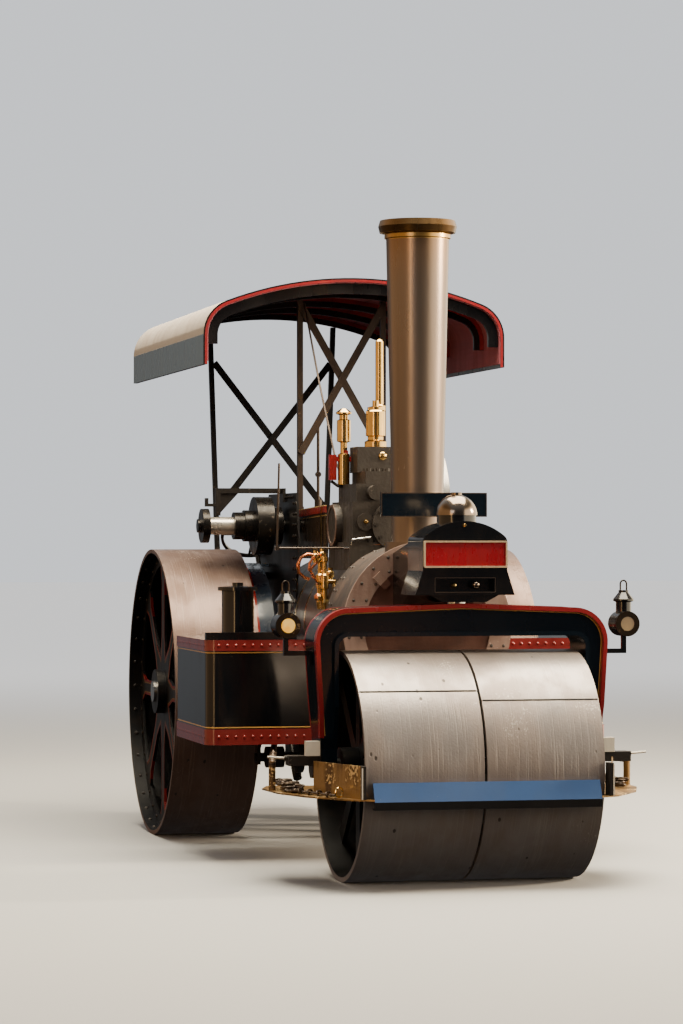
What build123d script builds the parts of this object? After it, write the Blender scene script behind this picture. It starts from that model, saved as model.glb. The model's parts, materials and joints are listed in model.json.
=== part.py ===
"""Steam road roller: twin front rolls in a swivelling yoke, two big rear wheels.

Lengths are millimetres. Everything is drawn from the kingpin: x is 0 on the middle line, y is 0 at the
kingpin and grows towards the footplate, z is 0 on the ground. The driver's right is towards -x.
"""
from build123d import *
import os
from math import cos, hypot, pi, radians, sin, sqrt

# Clearances
RUNNING = 0.5
SEAT = 0.3
MOVING_GAP = 12.0

# Front rolls
ROLL_R = 591.0
ROLL_RIM = 26.0
ROLL_HALF_WIDTH = 618.0
ROLL_SPLIT = 14.0
ROLL_SPOKES = 8
ROLL_SPOKE_WIDE = 86.0
ROLL_SPOKE_THICK = 22.0
ROLL_SPOKE_INSET = 96.0
ROLL_HUB_R = 96.0
FRONT_AXLE_R = 38.0
AXLE_COLLAR = 22.0

# Yoke over the front rolls
YOKE_DEPTH = 280.0
YOKE_INNER_HALF = ROLL_HALF_WIDTH + 34.0
YOKE_FOOT_HALF = YOKE_INNER_HALF + 74.0
YOKE_TOP_HALF = YOKE_INNER_HALF + 130.0
YOKE_INNER_TOP_Z = 2 * ROLL_R + 74.0
YOKE_SHOULDER_Z = YOKE_INNER_TOP_Z + 136.0
YOKE_CROWN_Z = YOKE_INNER_TOP_Z + 166.0
YOKE_CORNER_R = 175.0
YOKE_INNER_CORNER_R = 55.0
YOKE_BAND = 22.0
YOKE_RECESS = 34.0
YOKE_FOOT_Z = ROLL_R - 109.0
YOKE_FOOT_DEPTH = 190.0
YOKE_TAPER_Z = ROLL_R + 309.0
KINGPIN_R = 45.0

# Headstock: heights are above the yoke's crown
HEAD_HALF = 223.0
HEAD_FRONT_Y = -180.0
HEAD_BACK_Y = 140.0
HEAD_SKIRT_Z = YOKE_CROWN_Z + 44.0
HEAD_SKIRT_HALF = HEAD_HALF + 39.0
HEAD_FLARE_Z = YOKE_CROWN_Z + 168.0
HEAD_SHOULDER_Z = YOKE_CROWN_Z + 333.0
HEAD_CROWN_Z = YOKE_CROWN_Z + 422.0
HEAD_EDGE_R = 40.0
BOWL_HALF = 117.0
BOWL_LIFT = 8.0
BOWL_HIGH_Z = YOKE_CROWN_Z + 65.0
BOWL_SET = 20.0
SLOT_WIDE = 306.0
SLOT_LOW_Z = YOKE_CROWN_Z + 65.0
SLOT_HIGH_Z = YOKE_CROWN_Z + 126.0
SLOT_DEPTH = 60.0
SLOT_BOLT_X = 60.0
SLOT_BOLT_R = 22.0
NAME_PLATE_WIDE = 435.0
NAME_PLATE_LOW_Z = YOKE_CROWN_Z + 187.0
NAME_PLATE_HIGH_Z = YOKE_CROWN_Z + 319.0
NAME_PLATE_THICK = 12.0
NAME_PLATE_RIM = 10.0
CAP_R = 108.0
CAP_COLLAR_HIGH = 31.0
CAP_HIGH = 118.0
CAP_KNOB_R = 28.0
NECK_HALF = 190.0
NECK_HIGH = 230.0
NECK_DROP = 65.0
NECK_LOW = 40.0

# Boiler, smokebox and chimney
BOILER_Z = 1280.0
BARREL_R = 400.0
SMOKEBOX_R = 440.0
SMOKEBOX_FRONT_Y = 606.0
SMOKEBOX_LONG = 544.0
SMOKEBOX_BACK_Y = SMOKEBOX_FRONT_Y + SMOKEBOX_LONG
RING_R = 462.0
RING_WIDE = 118.0
RING_DEPTH = 16.0
# Clamps round the smokebox front: angle from the right side over the top, and size
DOG_TURNS = (0.0, 45.0, 135.0, 180.0, 225.0, 270.0, 315.0)
DOG_IN_R = 310.0
DOG_OUT_R = 400.0
DOG_HALF = 26.0
DOG_THICK = 16.0
CHIMNEY_Y = SMOKEBOX_FRONT_Y + 224.0
CHIMNEY_FOOT_R = 141.0
CHIMNEY_HEAD_R = 170.0
CHIMNEY_WALL = 10.0
CHIMNEY_FOOT_Z = 2010.0
CHIMNEY_TOP_Z = 3470.0
CHIMNEY_LIP_R = 213.0
CHIMNEY_LIP_HIGH = 66.0
CHIMNEY_BEAD_R = 179.0
CHIMNEY_FLANGE_R = 176.0
CHIMNEY_FLANGE_HIGH = 16.0
NUMBER_BOARD_Y = CHIMNEY_Y - 360.0
NUMBER_BOARD_WIDE = 577.0
NUMBER_BOARD_HIGH = 128.0
NUMBER_BOARD_LOW_Z = CHIMNEY_FOOT_Z - 140.0
NUMBER_BOARD_HIGH_Z = NUMBER_BOARD_LOW_Z + NUMBER_BOARD_HIGH
NUMBER_BOARD_THICK = 14.0

# Rear wheels and axle
WHEELBASE = 3020.0
WHEEL_R = 846.0
WHEEL_WIDE = 498.0
WHEEL_RIM = 24.0
WHEEL_SPOKES = 8
WHEEL_HUB_R = 130.0
REAR_AXLE_R = 62.0
AXLE_FLANGE = 50.0
WHEEL_RING_INSET = 70.0
WHEEL_RING_THICK = 16.0
WHEEL_RING_HIGH = 70.0
# Half outline of a spoke: half width and distance from the hub's middle
SPOKE_OUTLINE = ((110.0, 105.0), (48.0, 330.0), (44.0, WHEEL_R - 190.0),
                 (100.0, WHEEL_R - WHEEL_RIM - 60.0))

# Hornplates, firebox and crankshaft, measured from the rear axle
HORN_FACE = 380.0
HORN_THICK = 14.0
HORN_BACK_Y = WHEELBASE + 400.0
WHEEL_IN = HORN_FACE + 210.0
WHEEL_OUT = WHEEL_IN + WHEEL_WIDE
FIREBOX_HALF = HORN_FACE - HORN_THICK - SEAT
FIREBOX_LONG = 750.0
FIREBOX_BACK_Y = WHEELBASE - REAR_AXLE_R - 8.0
FIREBOX_FRONT_Y = FIREBOX_BACK_Y - FIREBOX_LONG
FIREBOX_LOW_Z = BOILER_Z - 520.0
ASHPAN_LOW_Z = FIREBOX_LOW_Z - 300.0
ASHPAN_HALF = 300.0
HORN_FRONT_Y = FIREBOX_FRONT_Y - 80.0
HORN_LOW_Z = WHEEL_R - 206.0
CRANK_Y = WHEELBASE - 470.0
CRANK_Z = 1830.0
HORN_TOP_Z = CRANK_Z + 190.0
CRANK_THROW = 100.0
CRANK_SHAFT_R = 40.0
CRANK_PIN_R = 36.0
WEB_END = 52.0
WEB_HALF = 56.0
WEB_THICK = 40.0
FLYWHEEL_R = 550.0
FLYWHEEL_IN = HORN_FACE + 24.0
FLYWHEEL_OUT = FLYWHEEL_IN + 90.0
FLYWHEEL_RIM = 62.0
FLYWHEEL_SPOKES = 6
FLYWHEEL_HUB_R = 85.0
CONROD_LENGTH = 470.0
CONROD_HALF = 34.0
CONROD_BIG_R = 62.0
CONROD_SMALL_R = 36.0
CRANK_PIN_Y = CRANK_Y - CRANK_THROW
GUDGEON_Y = CRANK_PIN_Y - CONROD_LENGTH
CRANK_END = 516.0
# Right end of the crankshaft: radius, distance of its inner and outer face from the hornplate
CRANK_END_STEPS = (
    (110.0, 22.0, 60.0),
    (170.0, 84.0, 183.0),
    (92.0, 183.0, 243.0),
    (80.0, 243.0, 303.0),
    (52.0, 303.0, 452.0),
    (100.0, 452.0, 494.0),
)
BRACKET_THICK = 30.0
BRACKET_FOOT_HALF = 60.0
BRACKET_ARM_Z = HORN_TOP_Z
BRACKET_DROP_Z = CRANK_Z + 60.0
BRACKET_BAR_Z = CRANK_Z + 112.0
BRACKET_X = HORN_FACE + 410.0
BRACKET_END_X = HORN_FACE + 470.0
FIRE_HOLE_HALF = 140.0
FIRE_HOLE_HIGH = 180.0
FIRE_HOLE_DEEP = 120.0
FIRE_DOOR_LAP = 20.0
FIRE_DOOR_THICK = 14.0
FIRE_PIN_R = 7.0
FIRE_HINGE_X = FIRE_HOLE_HALF + FIRE_DOOR_LAP + 30.0
FIRE_HINGE_Y = FIREBOX_BACK_Y + 26.0
GUARD_R = 600.0
GUARD_Z = WHEEL_R + 164.0
GUARD_OUT = HORN_FACE + 199.0
GUARD_IN = HORN_FACE + 67.0
GUARD_THICK = 10.0
GUARD_HOLE_R = 160.0
# Stays between the guard and the hornplate: middle y and z, half length and half height
GUARD_STAYS = (
    (WHEELBASE, GUARD_Z + GUARD_R - 13.0, 30.0, 9.0),
    (WHEELBASE - GUARD_R + 19.0, GUARD_Z + 5.0, 14.0, 15.0),
)
GEAR_R = 440.0
GEAR_TEETH = 44
GEAR_TOOTH = 22.0
GEAR_IN = HORN_FACE + 102.0
GEAR_OUT = HORN_FACE + 170.0
GEAR_SLEEVE_R = 118.0

# Belly tank under the barrel, ahead of the rear wheels
TANK_BACK_Y = WHEELBASE - WHEEL_R - 174.0
TANK_LONG = 985.0
TANK_FRONT_Y = TANK_BACK_Y - TANK_LONG
TANK_HALF = 1125.0
TANK_LOW_Z = 643.0
TANK_HIGH_Z = TANK_LOW_Z + 566.0
TANK_CORNER_R = 70.0
TANK_STRIP = 6.0
TANK_LOW_STRIP = 85.0
TANK_HIGH_STRIP = 60.0
TANK_SADDLE_GAP = 24.0
LEDGE_HIGH = 40.0
LEDGE_WIDE = 40.0
LEDGE_END_X = TANK_HALF - 505.0
SADDLE_WIDE = 60.0
CANISTER_X = TANK_HALF - 305.0
CANISTER_Y = TANK_BACK_Y - 300.0
# Filler pot on the tank: radius, height
CANISTER = ((90, 0), (90, 252), (112, 256), (112, 276), (30, 282), (30, 300))

# Cylinder block over the boiler, ahead of the crankshaft
BLOCK_GAP = 180.0
BLOCK_BACK_Y = CRANK_Y - 700.0
BLOCK_FRONT_Y = SMOKEBOX_BACK_Y + BLOCK_GAP
BLOCK_HALF = 245.0
BLOCK_FOOT_Z = CRANK_Z - 95.0
BLOCK_WAIST_Z = CRANK_Z + 130.0
BLOCK_CHEST_Z = CRANK_Z + 230.0
BLOCK_TOP_Z = CRANK_Z + 300.0
BLOCK_TOP_HALF = 150.0
TOWER_RIGHT_X = -165.0
TOWER_LEFT_X = 105.0
TOWER_TOP_Z = BLOCK_TOP_Z + 140.0
BLOCK_COVER_R = 140.0
BLOCK_SIDE_COVER_R = 118.0
BLOCK_BOSS = 36.0
# Round covers on the front of the block: x, height above the crankshaft, radius
BLOCK_FRONT_COVERS = (
    (-175.0, 18.0, 48.0),
    (175.0, 78.0, 48.0),
    (-118.0, 180.0, 40.0),
    (118.0, 180.0, 40.0),
)
SLIDE_BACK_Y = CRANK_Y - hypot(CRANK_THROW + WEB_END, WEB_HALF) - MOVING_GAP
# Turned brass pieces: radius, height
LUBRICATOR = ((34, 0), (34, 170), (20, 178), (20, 236), (39, 243), (39, 362), (26, 368), (26, 392),
              (44, 398),
              (44, 408), (16, 428))
SAFETY_VALVE = ((62, 0), (62, 30), (44, 40), (44, 58), (55, 64), (55, 200), (46, 208), (46, 224), (18, 230),
                (18, 262))
WHISTLE = ((20, 0), (20, 200), (34, 206), (34, 236), (23, 244), (23, 600), (10, 612))
# Place of each brass piece: outline, x, distance ahead of the block's back, height it stands on
BRASS_PIECES = (
    (LUBRICATOR, -205.0, 120.0, BLOCK_CHEST_Z),
    (SAFETY_VALVE, -42.0, 210.0, TOWER_TOP_Z),
    (WHISTLE, 0.0, 128.0, TOWER_TOP_Z),
)
MOTION_HALF = 285.0
MOTION_BACK_Y = CRANK_Y + 70.0
MOTION_LOW_Z = CRANK_Z - 190.0
MOTION_HIGH_Z = CRANK_Z + 115.0
MOTION_STRIP = 42.0
MOTION_FALL = 22.0

# Tender and drawbar
TENDER_LONG = 1380.0
TENDER_FRONT_Y = HORN_BACK_Y + SEAT
TENDER_BACK_Y = TENDER_FRONT_Y + TENDER_LONG
TENDER_HALF = 470.0
TENDER_LOW_Z = 640.0
TENDER_HIGH_Z = 1500.0
TENDER_WALL = 12.0
TENDER_COPING = 44.0
FOOTPLATE_Z = 1010.0
FOOTPLATE_THICK = 14.0
STEP_HIGH = 260.0
FIRE_HOLE_Z = FOOTPLATE_Z + 220.0
BUNKER_FRONT_Y = TENDER_FRONT_Y + 630.0
BUNKER_FLOOR_Z = FOOTPLATE_Z + 110.0
DRAWBAR_LONG = 250.0
DRAWBAR_BACK_Y = TENDER_BACK_Y + DRAWBAR_LONG
DRAWBAR_Z = 760.0
DRAWBAR_HIGH = 60.0
DRAWBAR_EYE_R = 70.0
DRAWBAR_PIN_R = 20.0

# Canopy
ROOF_LONG = 2520.0
ROOF_BACK_Y = TENDER_BACK_Y + 50.0
ROOF_FRONT_Y = ROOF_BACK_Y - ROOF_LONG
ROOF_HALF = 900.0
ROOF_CROWN_Z = 3275.0
ROOF_ARCH_R = 2130.0
ROOF_CORNER_R = 210.0
ROOF_THICK = 24.0
ROOF_BOW_DEEP = 90.0
ROOF_BOW_THICK = 22.0
VALANCE_LOW_Z = ROOF_CROWN_Z - 512.0
FRONT_POST_Y = CRANK_Y + 150.0
FRONT_POST_X = 252.0
POST_HALF = 16.0
REAR_POST_Y = TENDER_BACK_Y - TENDER_COPING / 2
REAR_POST_X = 355.0
REAR_POST_TOP_X = 410.0
BRACE_WIDE = 44.0
BRACE_THICK = 7.0
BRACE_LOW_Z = 2260.0
BRACE_HIGH_Z = 3140.0
REAR_BRACE_LOW_Z = 1950.0
REAR_BRACE_HIGH_Z = 2900.0
# Bows under the roof: distance behind the roof's front edge
ROOF_BOWS = (30.0, FRONT_POST_Y - ROOF_FRONT_Y - ROOF_BOW_THICK / 2, 1170.0, 1770.0,
             REAR_POST_Y - ROOF_FRONT_Y - ROOF_BOW_THICK / 2)

# Scraper, trays and lamps on the yoke
BAR_GAP = 11.0
BAR_DEPTH = 52.0
BAR_FRONT_Y = -ROLL_R - BAR_GAP - BAR_DEPTH
BAR_HALF = ROLL_HALF_WIDTH - 33.0
BAR_THICK = 9.0
BAR_LOW_Z = ROLL_R - 179.0
BAR_FOLD_Z = BAR_LOW_Z + 40.0
BAR_TOP_Z = BAR_LOW_Z + 133.0
TRAY_Z = YOKE_FOOT_Z - 17.0
TRAY_THICK = 8.0
TRAY_HALF = YOKE_FOOT_HALF + 246.0
TRAY_UPSTAND_HIGH = 165.0
LAMP_X = YOKE_TOP_HALF + 118.0
LAMP_Z = YOKE_SHOULDER_Z - 80.0
LAMP_R = 66.0
LAMP_ARM_Z = LAMP_Z - 142.0
# Lamp top: radius, height
LAMP_TOP = ((40, 0), (40, 60), (54, 66), (54, 76), (26, 110), (26, 122))

# Steering chains, their barrel below the tank and the column beside the right hornplate
LINK_PITCH = 58.0
LINK_WIDE = 36.0
LINK_WIRE = 11.0
LINK_LAP = 2.0
CHAIN_PIN_R = 6.0
CHAIN_Z = ROLL_R + 9.0
CHAIN_LUG_X = TRAY_HALF - 23.0
CHAIN_LUG_Y = 100.0
CHAIN_POST_R = 18.0
CHAIN_TAIL = 345.0
DRUM_X = 560.0
DRUM_HALF = 50.0
DRUM_R = 60.0
DRUM_SHAFT_R = 26.0
DRUM_Y = TANK_BACK_Y - 55.0
DRUM_Z = CHAIN_Z - LINK_WIDE / 2 - MOVING_GAP / 2 - DRUM_R
HANGER_IN_X = 330.0
HANGER_OUT_X = DRUM_X + 95.0
WORM_WHEEL_R = 92.0
WORM_WHEEL_X = HORN_FACE + 20.0
WORM_WHEEL_THICK = 32.0
WORM_R = 26.0
WORM_LONG = 120.0
COLUMN_X = WORM_WHEEL_X + WORM_WHEEL_THICK / 2
COLUMN_R = 14.0
COLUMN_SLOPE = radians(47.0)
COLUMN_LONG = 1860.0
COLUMN_CLIPS = (700.0, 1500.0)
HANDWHEEL_R = 200.0
HANDWHEEL_RIM = 18.0

# Fittings on the boiler's right side, with the feed pipe and the control rods
CLACK_Y = BLOCK_FRONT_Y + 70.0
CLACK_X = 389.0
# Turned bodies of a clack valve and of the side cock: radius, height
CLACK = ((16, 0), (22, 40), (16, 60), (16, 110), (24, 118), (24, 190), (14, 200), (14, 262), (20, 268),
         (20, 292))
CLACK_LOW_Z = BOILER_Z + 82.0
COCK = ((10, 0), (18, 6), (24, 16), (24, 28), (18, 38), (10, 44))
COCK_X = 424.0
COCK_Z = BOILER_Z + 129.0
PIPE_R = 7.0
# Copper feed pipe: distance from the middle line and height
FEED_PIPE = ((CLACK_X, BOILER_Z + 382.0), (430.0, BOILER_Z + 345.0), (471.0, BOILER_Z + 303.0),
             (448.0, BOILER_Z + 262.0), (COCK_X, BOILER_Z + 228.0))
ROD_R = 6.0
ROD_Y = BLOCK_FRONT_Y + 120.0
ROD_X = 647.0
ROD_Z = BLOCK_FOOT_Z - 33.0
ROD_TOP_Z = ROD_Z + 470.0
LEVER_X = 98.0
LEVER_Y = WHEELBASE - 120.0
LEVER_BASE_Z = HORN_TOP_Z - 30.0
LEVER_TOP_Z = HORN_TOP_Z + 400.0

MIDDLE_Y = (BAR_FRONT_Y + DRAWBAR_BACK_Y) / 2


def slab(x0, x1, y0, y1, z0, z1):
    """Block between two corners."""
    return Pos((x0 + x1) / 2, (y0 + y1) / 2, (z0 + z1) / 2) * Box(x1 - x0, y1 - y0, z1 - z0)


def rod_x(r, x0, x1, y, z):
    """Round bar along x."""
    return extrude(Plane((x0, y, z), x_dir=(0, 1, 0), z_dir=(1, 0, 0)) * Circle(r), x1 - x0)


def rod_y(r, y0, y1, x, z):
    """Round bar along y."""
    return extrude(Plane((x, y0, z), x_dir=(-1, 0, 0), z_dir=(0, 1, 0)) * Circle(r), y1 - y0)


def rod_z(r, z0, z1, x, y):
    """Round bar along z."""
    return extrude(Plane((x, y, z0)) * Circle(r), z1 - z0)


def outline(points):
    """Closed flat face through the given corners."""
    return make_face(Polyline(*points, close=True))


def side_plate(face, x0, x1):
    """Plate whose face is drawn in y and z, from x0 to x1."""
    return extrude(Plane((x0, 0, 0), x_dir=(0, 1, 0), z_dir=(1, 0, 0)) * face, x1 - x0)


def cross_plate(face, y0, y1):
    """Plate whose face is drawn in x and z, from y0 to y1."""
    return extrude(Plane((0, y1, 0), x_dir=(1, 0, 0), z_dir=(0, -1, 0)) * face, y1 - y0)


def flat_plate(face, z0, z1):
    """Plate whose face is drawn in x and y, from z0 to z1."""
    return extrude(Plane((0, 0, z0)) * face, z1 - z0)


def bar(start, end, wide, thick, across=(0, 1, 0)):
    """Flat bar from start to end; thick is measured along across."""
    along = Vector(*end) - Vector(*start)
    wide_dir = Vector(*across).cross(along.normalized())
    return extrude(Plane(Vector(*start), x_dir=wide_dir, z_dir=along) * Rectangle(wide, thick),
                   along.length)


def round_bar(start, end, r):
    """Round bar from start to end."""
    along = Vector(*end) - Vector(*start)
    return extrude(Plane(Vector(*start), z_dir=along) * Circle(r), along.length)


def other_side(shape):
    """The same shape on the other side of the middle line."""
    return mirror(shape, Plane.YZ)


def keep(node, *pieces):
    """Write one named piece of the roller, moved so that the origin is under its middle."""
    solids = [Pos(0, -MIDDLE_Y, 0) * solid for piece in pieces for solid in piece.solids()]
    export_step(Compound(children=solids), f"parts/{node}.step")


def spoked_drum(r, rim, x0, x1, hub_r, bore_r, spokes, spoke_wide, spoke_thick, inset, y, z):
    """Drum along x with a rim, a hub and two rings of flat spokes."""
    drum = rod_x(r, x0, x1, y, z) - rod_x(r - rim, x0, x1, y, z)
    drum += rod_x(hub_r, x0, x1, y, z)
    for face_x in (x0 + inset, x1 - inset - spoke_thick):
        for count in range(spokes):
            turn = 360.0 * count / spokes
            spoke = slab(face_x, face_x + spoke_thick, -spoke_wide / 2, spoke_wide / 2, hub_r * 0.8,
                         r - rim / 2)
            drum += Pos(0, y, z) * Rot(turn, 0, 0) * spoke
    return drum - rod_x(bore_r, x0, x1, y, z)


def front_roll():
    """Right half of the front roll."""
    return spoked_drum(ROLL_R, ROLL_RIM, -ROLL_HALF_WIDTH, -ROLL_SPLIT / 2, ROLL_HUB_R,
                       FRONT_AXLE_R + RUNNING,
                       ROLL_SPOKES, ROLL_SPOKE_WIDE, ROLL_SPOKE_THICK, ROLL_SPOKE_INSET, 0, ROLL_R)


def yoke_face(inset):
    """Outer outline of the yoke seen from the front, shrunk by inset."""
    top = YOKE_TOP_HALF - inset
    foot = YOKE_FOOT_HALF - inset
    face = outline([(-foot, YOKE_FOOT_Z - inset), (-top, YOKE_SHOULDER_Z - inset),
                    (0, YOKE_CROWN_Z - inset),
                    (top, YOKE_SHOULDER_Z - inset), (foot, YOKE_FOOT_Z - inset)])
    corners = [v for v in face.vertices() if abs(v.Y - (YOKE_SHOULDER_Z - inset)) < 1 and abs(v.X) > 1]
    return fillet(corners, YOKE_CORNER_R - inset)


def yoke_opening(grow):
    """Inner outline of the yoke seen from the front, widened by grow."""
    half = YOKE_INNER_HALF + grow
    top = YOKE_INNER_TOP_Z + grow
    low = YOKE_FOOT_Z - 2 * YOKE_CORNER_R
    face = outline([(-half, low), (-half, top), (half, top), (half, low)])
    return fillet([v for v in face.vertices() if v.Y > low + 1], YOKE_INNER_CORNER_R + grow)


def yoke_edge(z):
    """Half width of the yoke's outside at height z."""
    share = (z - YOKE_FOOT_Z) / (YOKE_SHOULDER_Z - YOKE_FOOT_Z)
    return YOKE_FOOT_HALF + (YOKE_TOP_HALF - YOKE_FOOT_HALF) * share


def yoke():
    """Arched yoke: flanged box section with legs that narrow to the axle."""
    half_depth = YOKE_DEPTH / 2
    arch = cross_plate(yoke_face(0) - yoke_opening(0), -half_depth, half_depth)
    recess = cross_plate(yoke_face(YOKE_BAND) - yoke_opening(YOKE_BAND), 0, YOKE_RECESS)
    arch -= Pos(0, -half_depth, 0) * recess
    arch -= Pos(0, half_depth - YOKE_RECESS, 0) * recess
    foot = YOKE_FOOT_DEPTH / 2
    side = outline([(-foot, YOKE_FOOT_Z), (-foot, ROLL_R + foot), (-half_depth, YOKE_TAPER_Z),
                    (-half_depth, YOKE_CROWN_Z), (half_depth, YOKE_CROWN_Z), (half_depth, YOKE_TAPER_Z),
                    (foot, ROLL_R + foot), (foot, YOKE_FOOT_Z)])
    arch &= side_plate(side, -YOKE_TOP_HALF, YOKE_TOP_HALF)
    arch -= rod_x(FRONT_AXLE_R + SEAT, -YOKE_TOP_HALF, YOKE_TOP_HALF, 0, ROLL_R)
    arch -= rod_z(KINGPIN_R + SEAT, YOKE_INNER_TOP_Z, YOKE_CROWN_Z, 0, 0)
    return arch


def perch_bracket():
    """Headstock box with arched front, flared skirt, camber bowl, and the neck back to the smokebox."""
    sides = Polyline((-HEAD_HALF, HEAD_SHOULDER_Z), (-HEAD_HALF, HEAD_FLARE_Z),
                     (-HEAD_SKIRT_HALF, HEAD_SKIRT_Z),
                     (HEAD_SKIRT_HALF, HEAD_SKIRT_Z), (HEAD_HALF, HEAD_FLARE_Z),
                     (HEAD_HALF, HEAD_SHOULDER_Z))
    arch = ThreePointArc((-HEAD_HALF, HEAD_SHOULDER_Z), (0, HEAD_CROWN_Z), (HEAD_HALF, HEAD_SHOULDER_Z))
    front = make_face(sides + arch)
    shoulders = [v for v in front.vertices() if abs(v.Y - HEAD_SHOULDER_Z) < 1]
    head = cross_plate(fillet(shoulders, HEAD_EDGE_R), HEAD_FRONT_Y, HEAD_BACK_Y)
    bowl_z = YOKE_CROWN_Z + BOWL_LIFT
    bowl = outline([(-BOWL_HALF, bowl_z), (-HEAD_HALF, BOWL_HIGH_Z), (HEAD_HALF, BOWL_HIGH_Z),
                    (BOWL_HALF, bowl_z)])
    head += cross_plate(bowl, HEAD_FRONT_Y + BOWL_SET, HEAD_BACK_Y)
    head -= slab(-SLOT_WIDE / 2, SLOT_WIDE / 2, HEAD_FRONT_Y, HEAD_FRONT_Y + SLOT_DEPTH, SLOT_LOW_Z,
                 SLOT_HIGH_Z)
    head += rod_y(SLOT_BOLT_R, HEAD_FRONT_Y + 12, HEAD_FRONT_Y + SLOT_DEPTH, SLOT_BOLT_X,
                  (SLOT_LOW_Z + SLOT_HIGH_Z) / 2)
    neck_low = HEAD_SHOULDER_Z - NECK_HIGH
    neck = side_plate(outline([(HEAD_BACK_Y - 20, neck_low), (HEAD_BACK_Y - 20, HEAD_SHOULDER_Z),
                               (SMOKEBOX_FRONT_Y, BOILER_Z + RING_R - NECK_DROP),
                               (SMOKEBOX_FRONT_Y, BOILER_Z + NECK_LOW)]),
                      -NECK_HALF, NECK_HALF)
    head += neck
    head += rod_z(CAP_R - 6, HEAD_CROWN_Z - 40, HEAD_CROWN_Z + CAP_COLLAR_HIGH, 0, 0)
    return head - rod_z(KINGPIN_R + RUNNING, HEAD_SKIRT_Z - 100, HEAD_CROWN_Z + CAP_COLLAR_HIGH, 0, 0)


def name_plate():
    """Blank cast plate with a raised rim on the headstock front."""
    half = NAME_PLATE_WIDE / 2
    y1 = HEAD_FRONT_Y - SEAT
    y0 = y1 - NAME_PLATE_THICK
    plate = slab(-half, half, y0, y1, NAME_PLATE_LOW_Z, NAME_PLATE_HIGH_Z)
    rim = NAME_PLATE_RIM
    return plate - slab(-half + rim, half - rim, y0, y0 + rim / 2, NAME_PLATE_LOW_Z + rim,
                        NAME_PLATE_HIGH_Z - rim)


def kingpin_cap():
    """Polished dome over the kingpin."""
    base = HEAD_CROWN_Z + CAP_COLLAR_HIGH + SEAT
    dome = Pos(0, 0, base) * Sphere(CAP_R) & rod_z(CAP_R, base, base + CAP_R, 0, 0)
    return dome + rod_z(CAP_KNOB_R, base + CAP_R - 8, base + CAP_HIGH, 0, 0)


def kingpin():
    """Upright pin on which the yoke swings."""
    return rod_z(KINGPIN_R, YOKE_INNER_TOP_Z + 4, HEAD_CROWN_Z + CAP_COLLAR_HIGH - 10, 0, 0)


def smokebox():
    """Smokebox shell with its riveted front ring, the plate and the clamps round it."""
    shell = rod_y(SMOKEBOX_R, SMOKEBOX_FRONT_Y + 6, SMOKEBOX_BACK_Y, 0, BOILER_Z)
    ring = rod_y(RING_R, SMOKEBOX_FRONT_Y + SEAT, SMOKEBOX_FRONT_Y + RING_DEPTH, 0, BOILER_Z)
    recess = rod_y(RING_R - RING_WIDE, SMOKEBOX_FRONT_Y, SMOKEBOX_FRONT_Y + 10, 0, BOILER_Z)
    plate = rod_y(RING_R - RING_WIDE + 2, SMOKEBOX_FRONT_Y + 8, SMOKEBOX_FRONT_Y + 30, 0, BOILER_Z)
    front = shell + ring - recess + plate
    for turn in DOG_TURNS:
        dog = slab(DOG_IN_R, DOG_OUT_R, -DOG_THICK, 9, -DOG_HALF, DOG_HALF)
        front += Pos(0, SMOKEBOX_FRONT_Y, BOILER_Z) * Rot(0, -turn, 0) * dog
    return front


def chimney():
    """Tapered chimney with a foot flange, a ring and a rolled lip, open at the top."""
    foot_z = BOILER_Z + sqrt(SMOKEBOX_R ** 2 - CHIMNEY_FLANGE_R ** 2)
    flange_z = BOILER_Z + SMOKEBOX_R + CHIMNEY_FLANGE_HIGH
    lip_low = CHIMNEY_TOP_Z - CHIMNEY_LIP_HIGH
    lip_mid = CHIMNEY_TOP_Z - CHIMNEY_LIP_HIGH / 2
    body = outline([(0, foot_z), (CHIMNEY_FLANGE_R, foot_z), (CHIMNEY_FLANGE_R, flange_z),
                    (CHIMNEY_FOOT_R, flange_z), (CHIMNEY_FOOT_R, CHIMNEY_FOOT_Z),
                    (CHIMNEY_HEAD_R, lip_low - 34), (CHIMNEY_BEAD_R, lip_low - 30),
                    (CHIMNEY_BEAD_R, lip_low - 10),
                    (CHIMNEY_HEAD_R + 2, lip_low - 8), (CHIMNEY_LIP_R - 8, lip_low),
                    (CHIMNEY_LIP_R, lip_mid),
                    (CHIMNEY_LIP_R - 10, CHIMNEY_TOP_Z), (0, CHIMNEY_TOP_Z)])
    stack = Pos(0, CHIMNEY_Y, 0) * revolve(Plane.XZ * body, Axis.Z)
    bore = outline([(0, CHIMNEY_FOOT_Z), (CHIMNEY_FOOT_R - CHIMNEY_WALL, CHIMNEY_FOOT_Z),
                    (CHIMNEY_HEAD_R - CHIMNEY_WALL, CHIMNEY_TOP_Z), (0, CHIMNEY_TOP_Z)])
    stack -= Pos(0, CHIMNEY_Y, 0) * revolve(Plane.XZ * bore, Axis.Z)
    return stack - rod_y(SMOKEBOX_R + SEAT, SMOKEBOX_FRONT_Y, SMOKEBOX_BACK_Y, 0, BOILER_Z)


def number_board():
    """Blank board on two brackets in front of the chimney."""
    half = NUMBER_BOARD_WIDE / 2
    y1 = NUMBER_BOARD_Y + NUMBER_BOARD_THICK
    board = slab(-half, half, NUMBER_BOARD_Y, y1, NUMBER_BOARD_LOW_Z, NUMBER_BOARD_HIGH_Z)
    for x in (-half * 0.3, half * 0.3):
        board += slab(x - 12, x + 12, y1 - 4, CHIMNEY_Y, NUMBER_BOARD_LOW_Z + 40, NUMBER_BOARD_LOW_Z + 52)
    return board - rod_z(CHIMNEY_FOOT_R + SEAT, NUMBER_BOARD_LOW_Z, NUMBER_BOARD_HIGH_Z, 0, CHIMNEY_Y)


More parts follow.
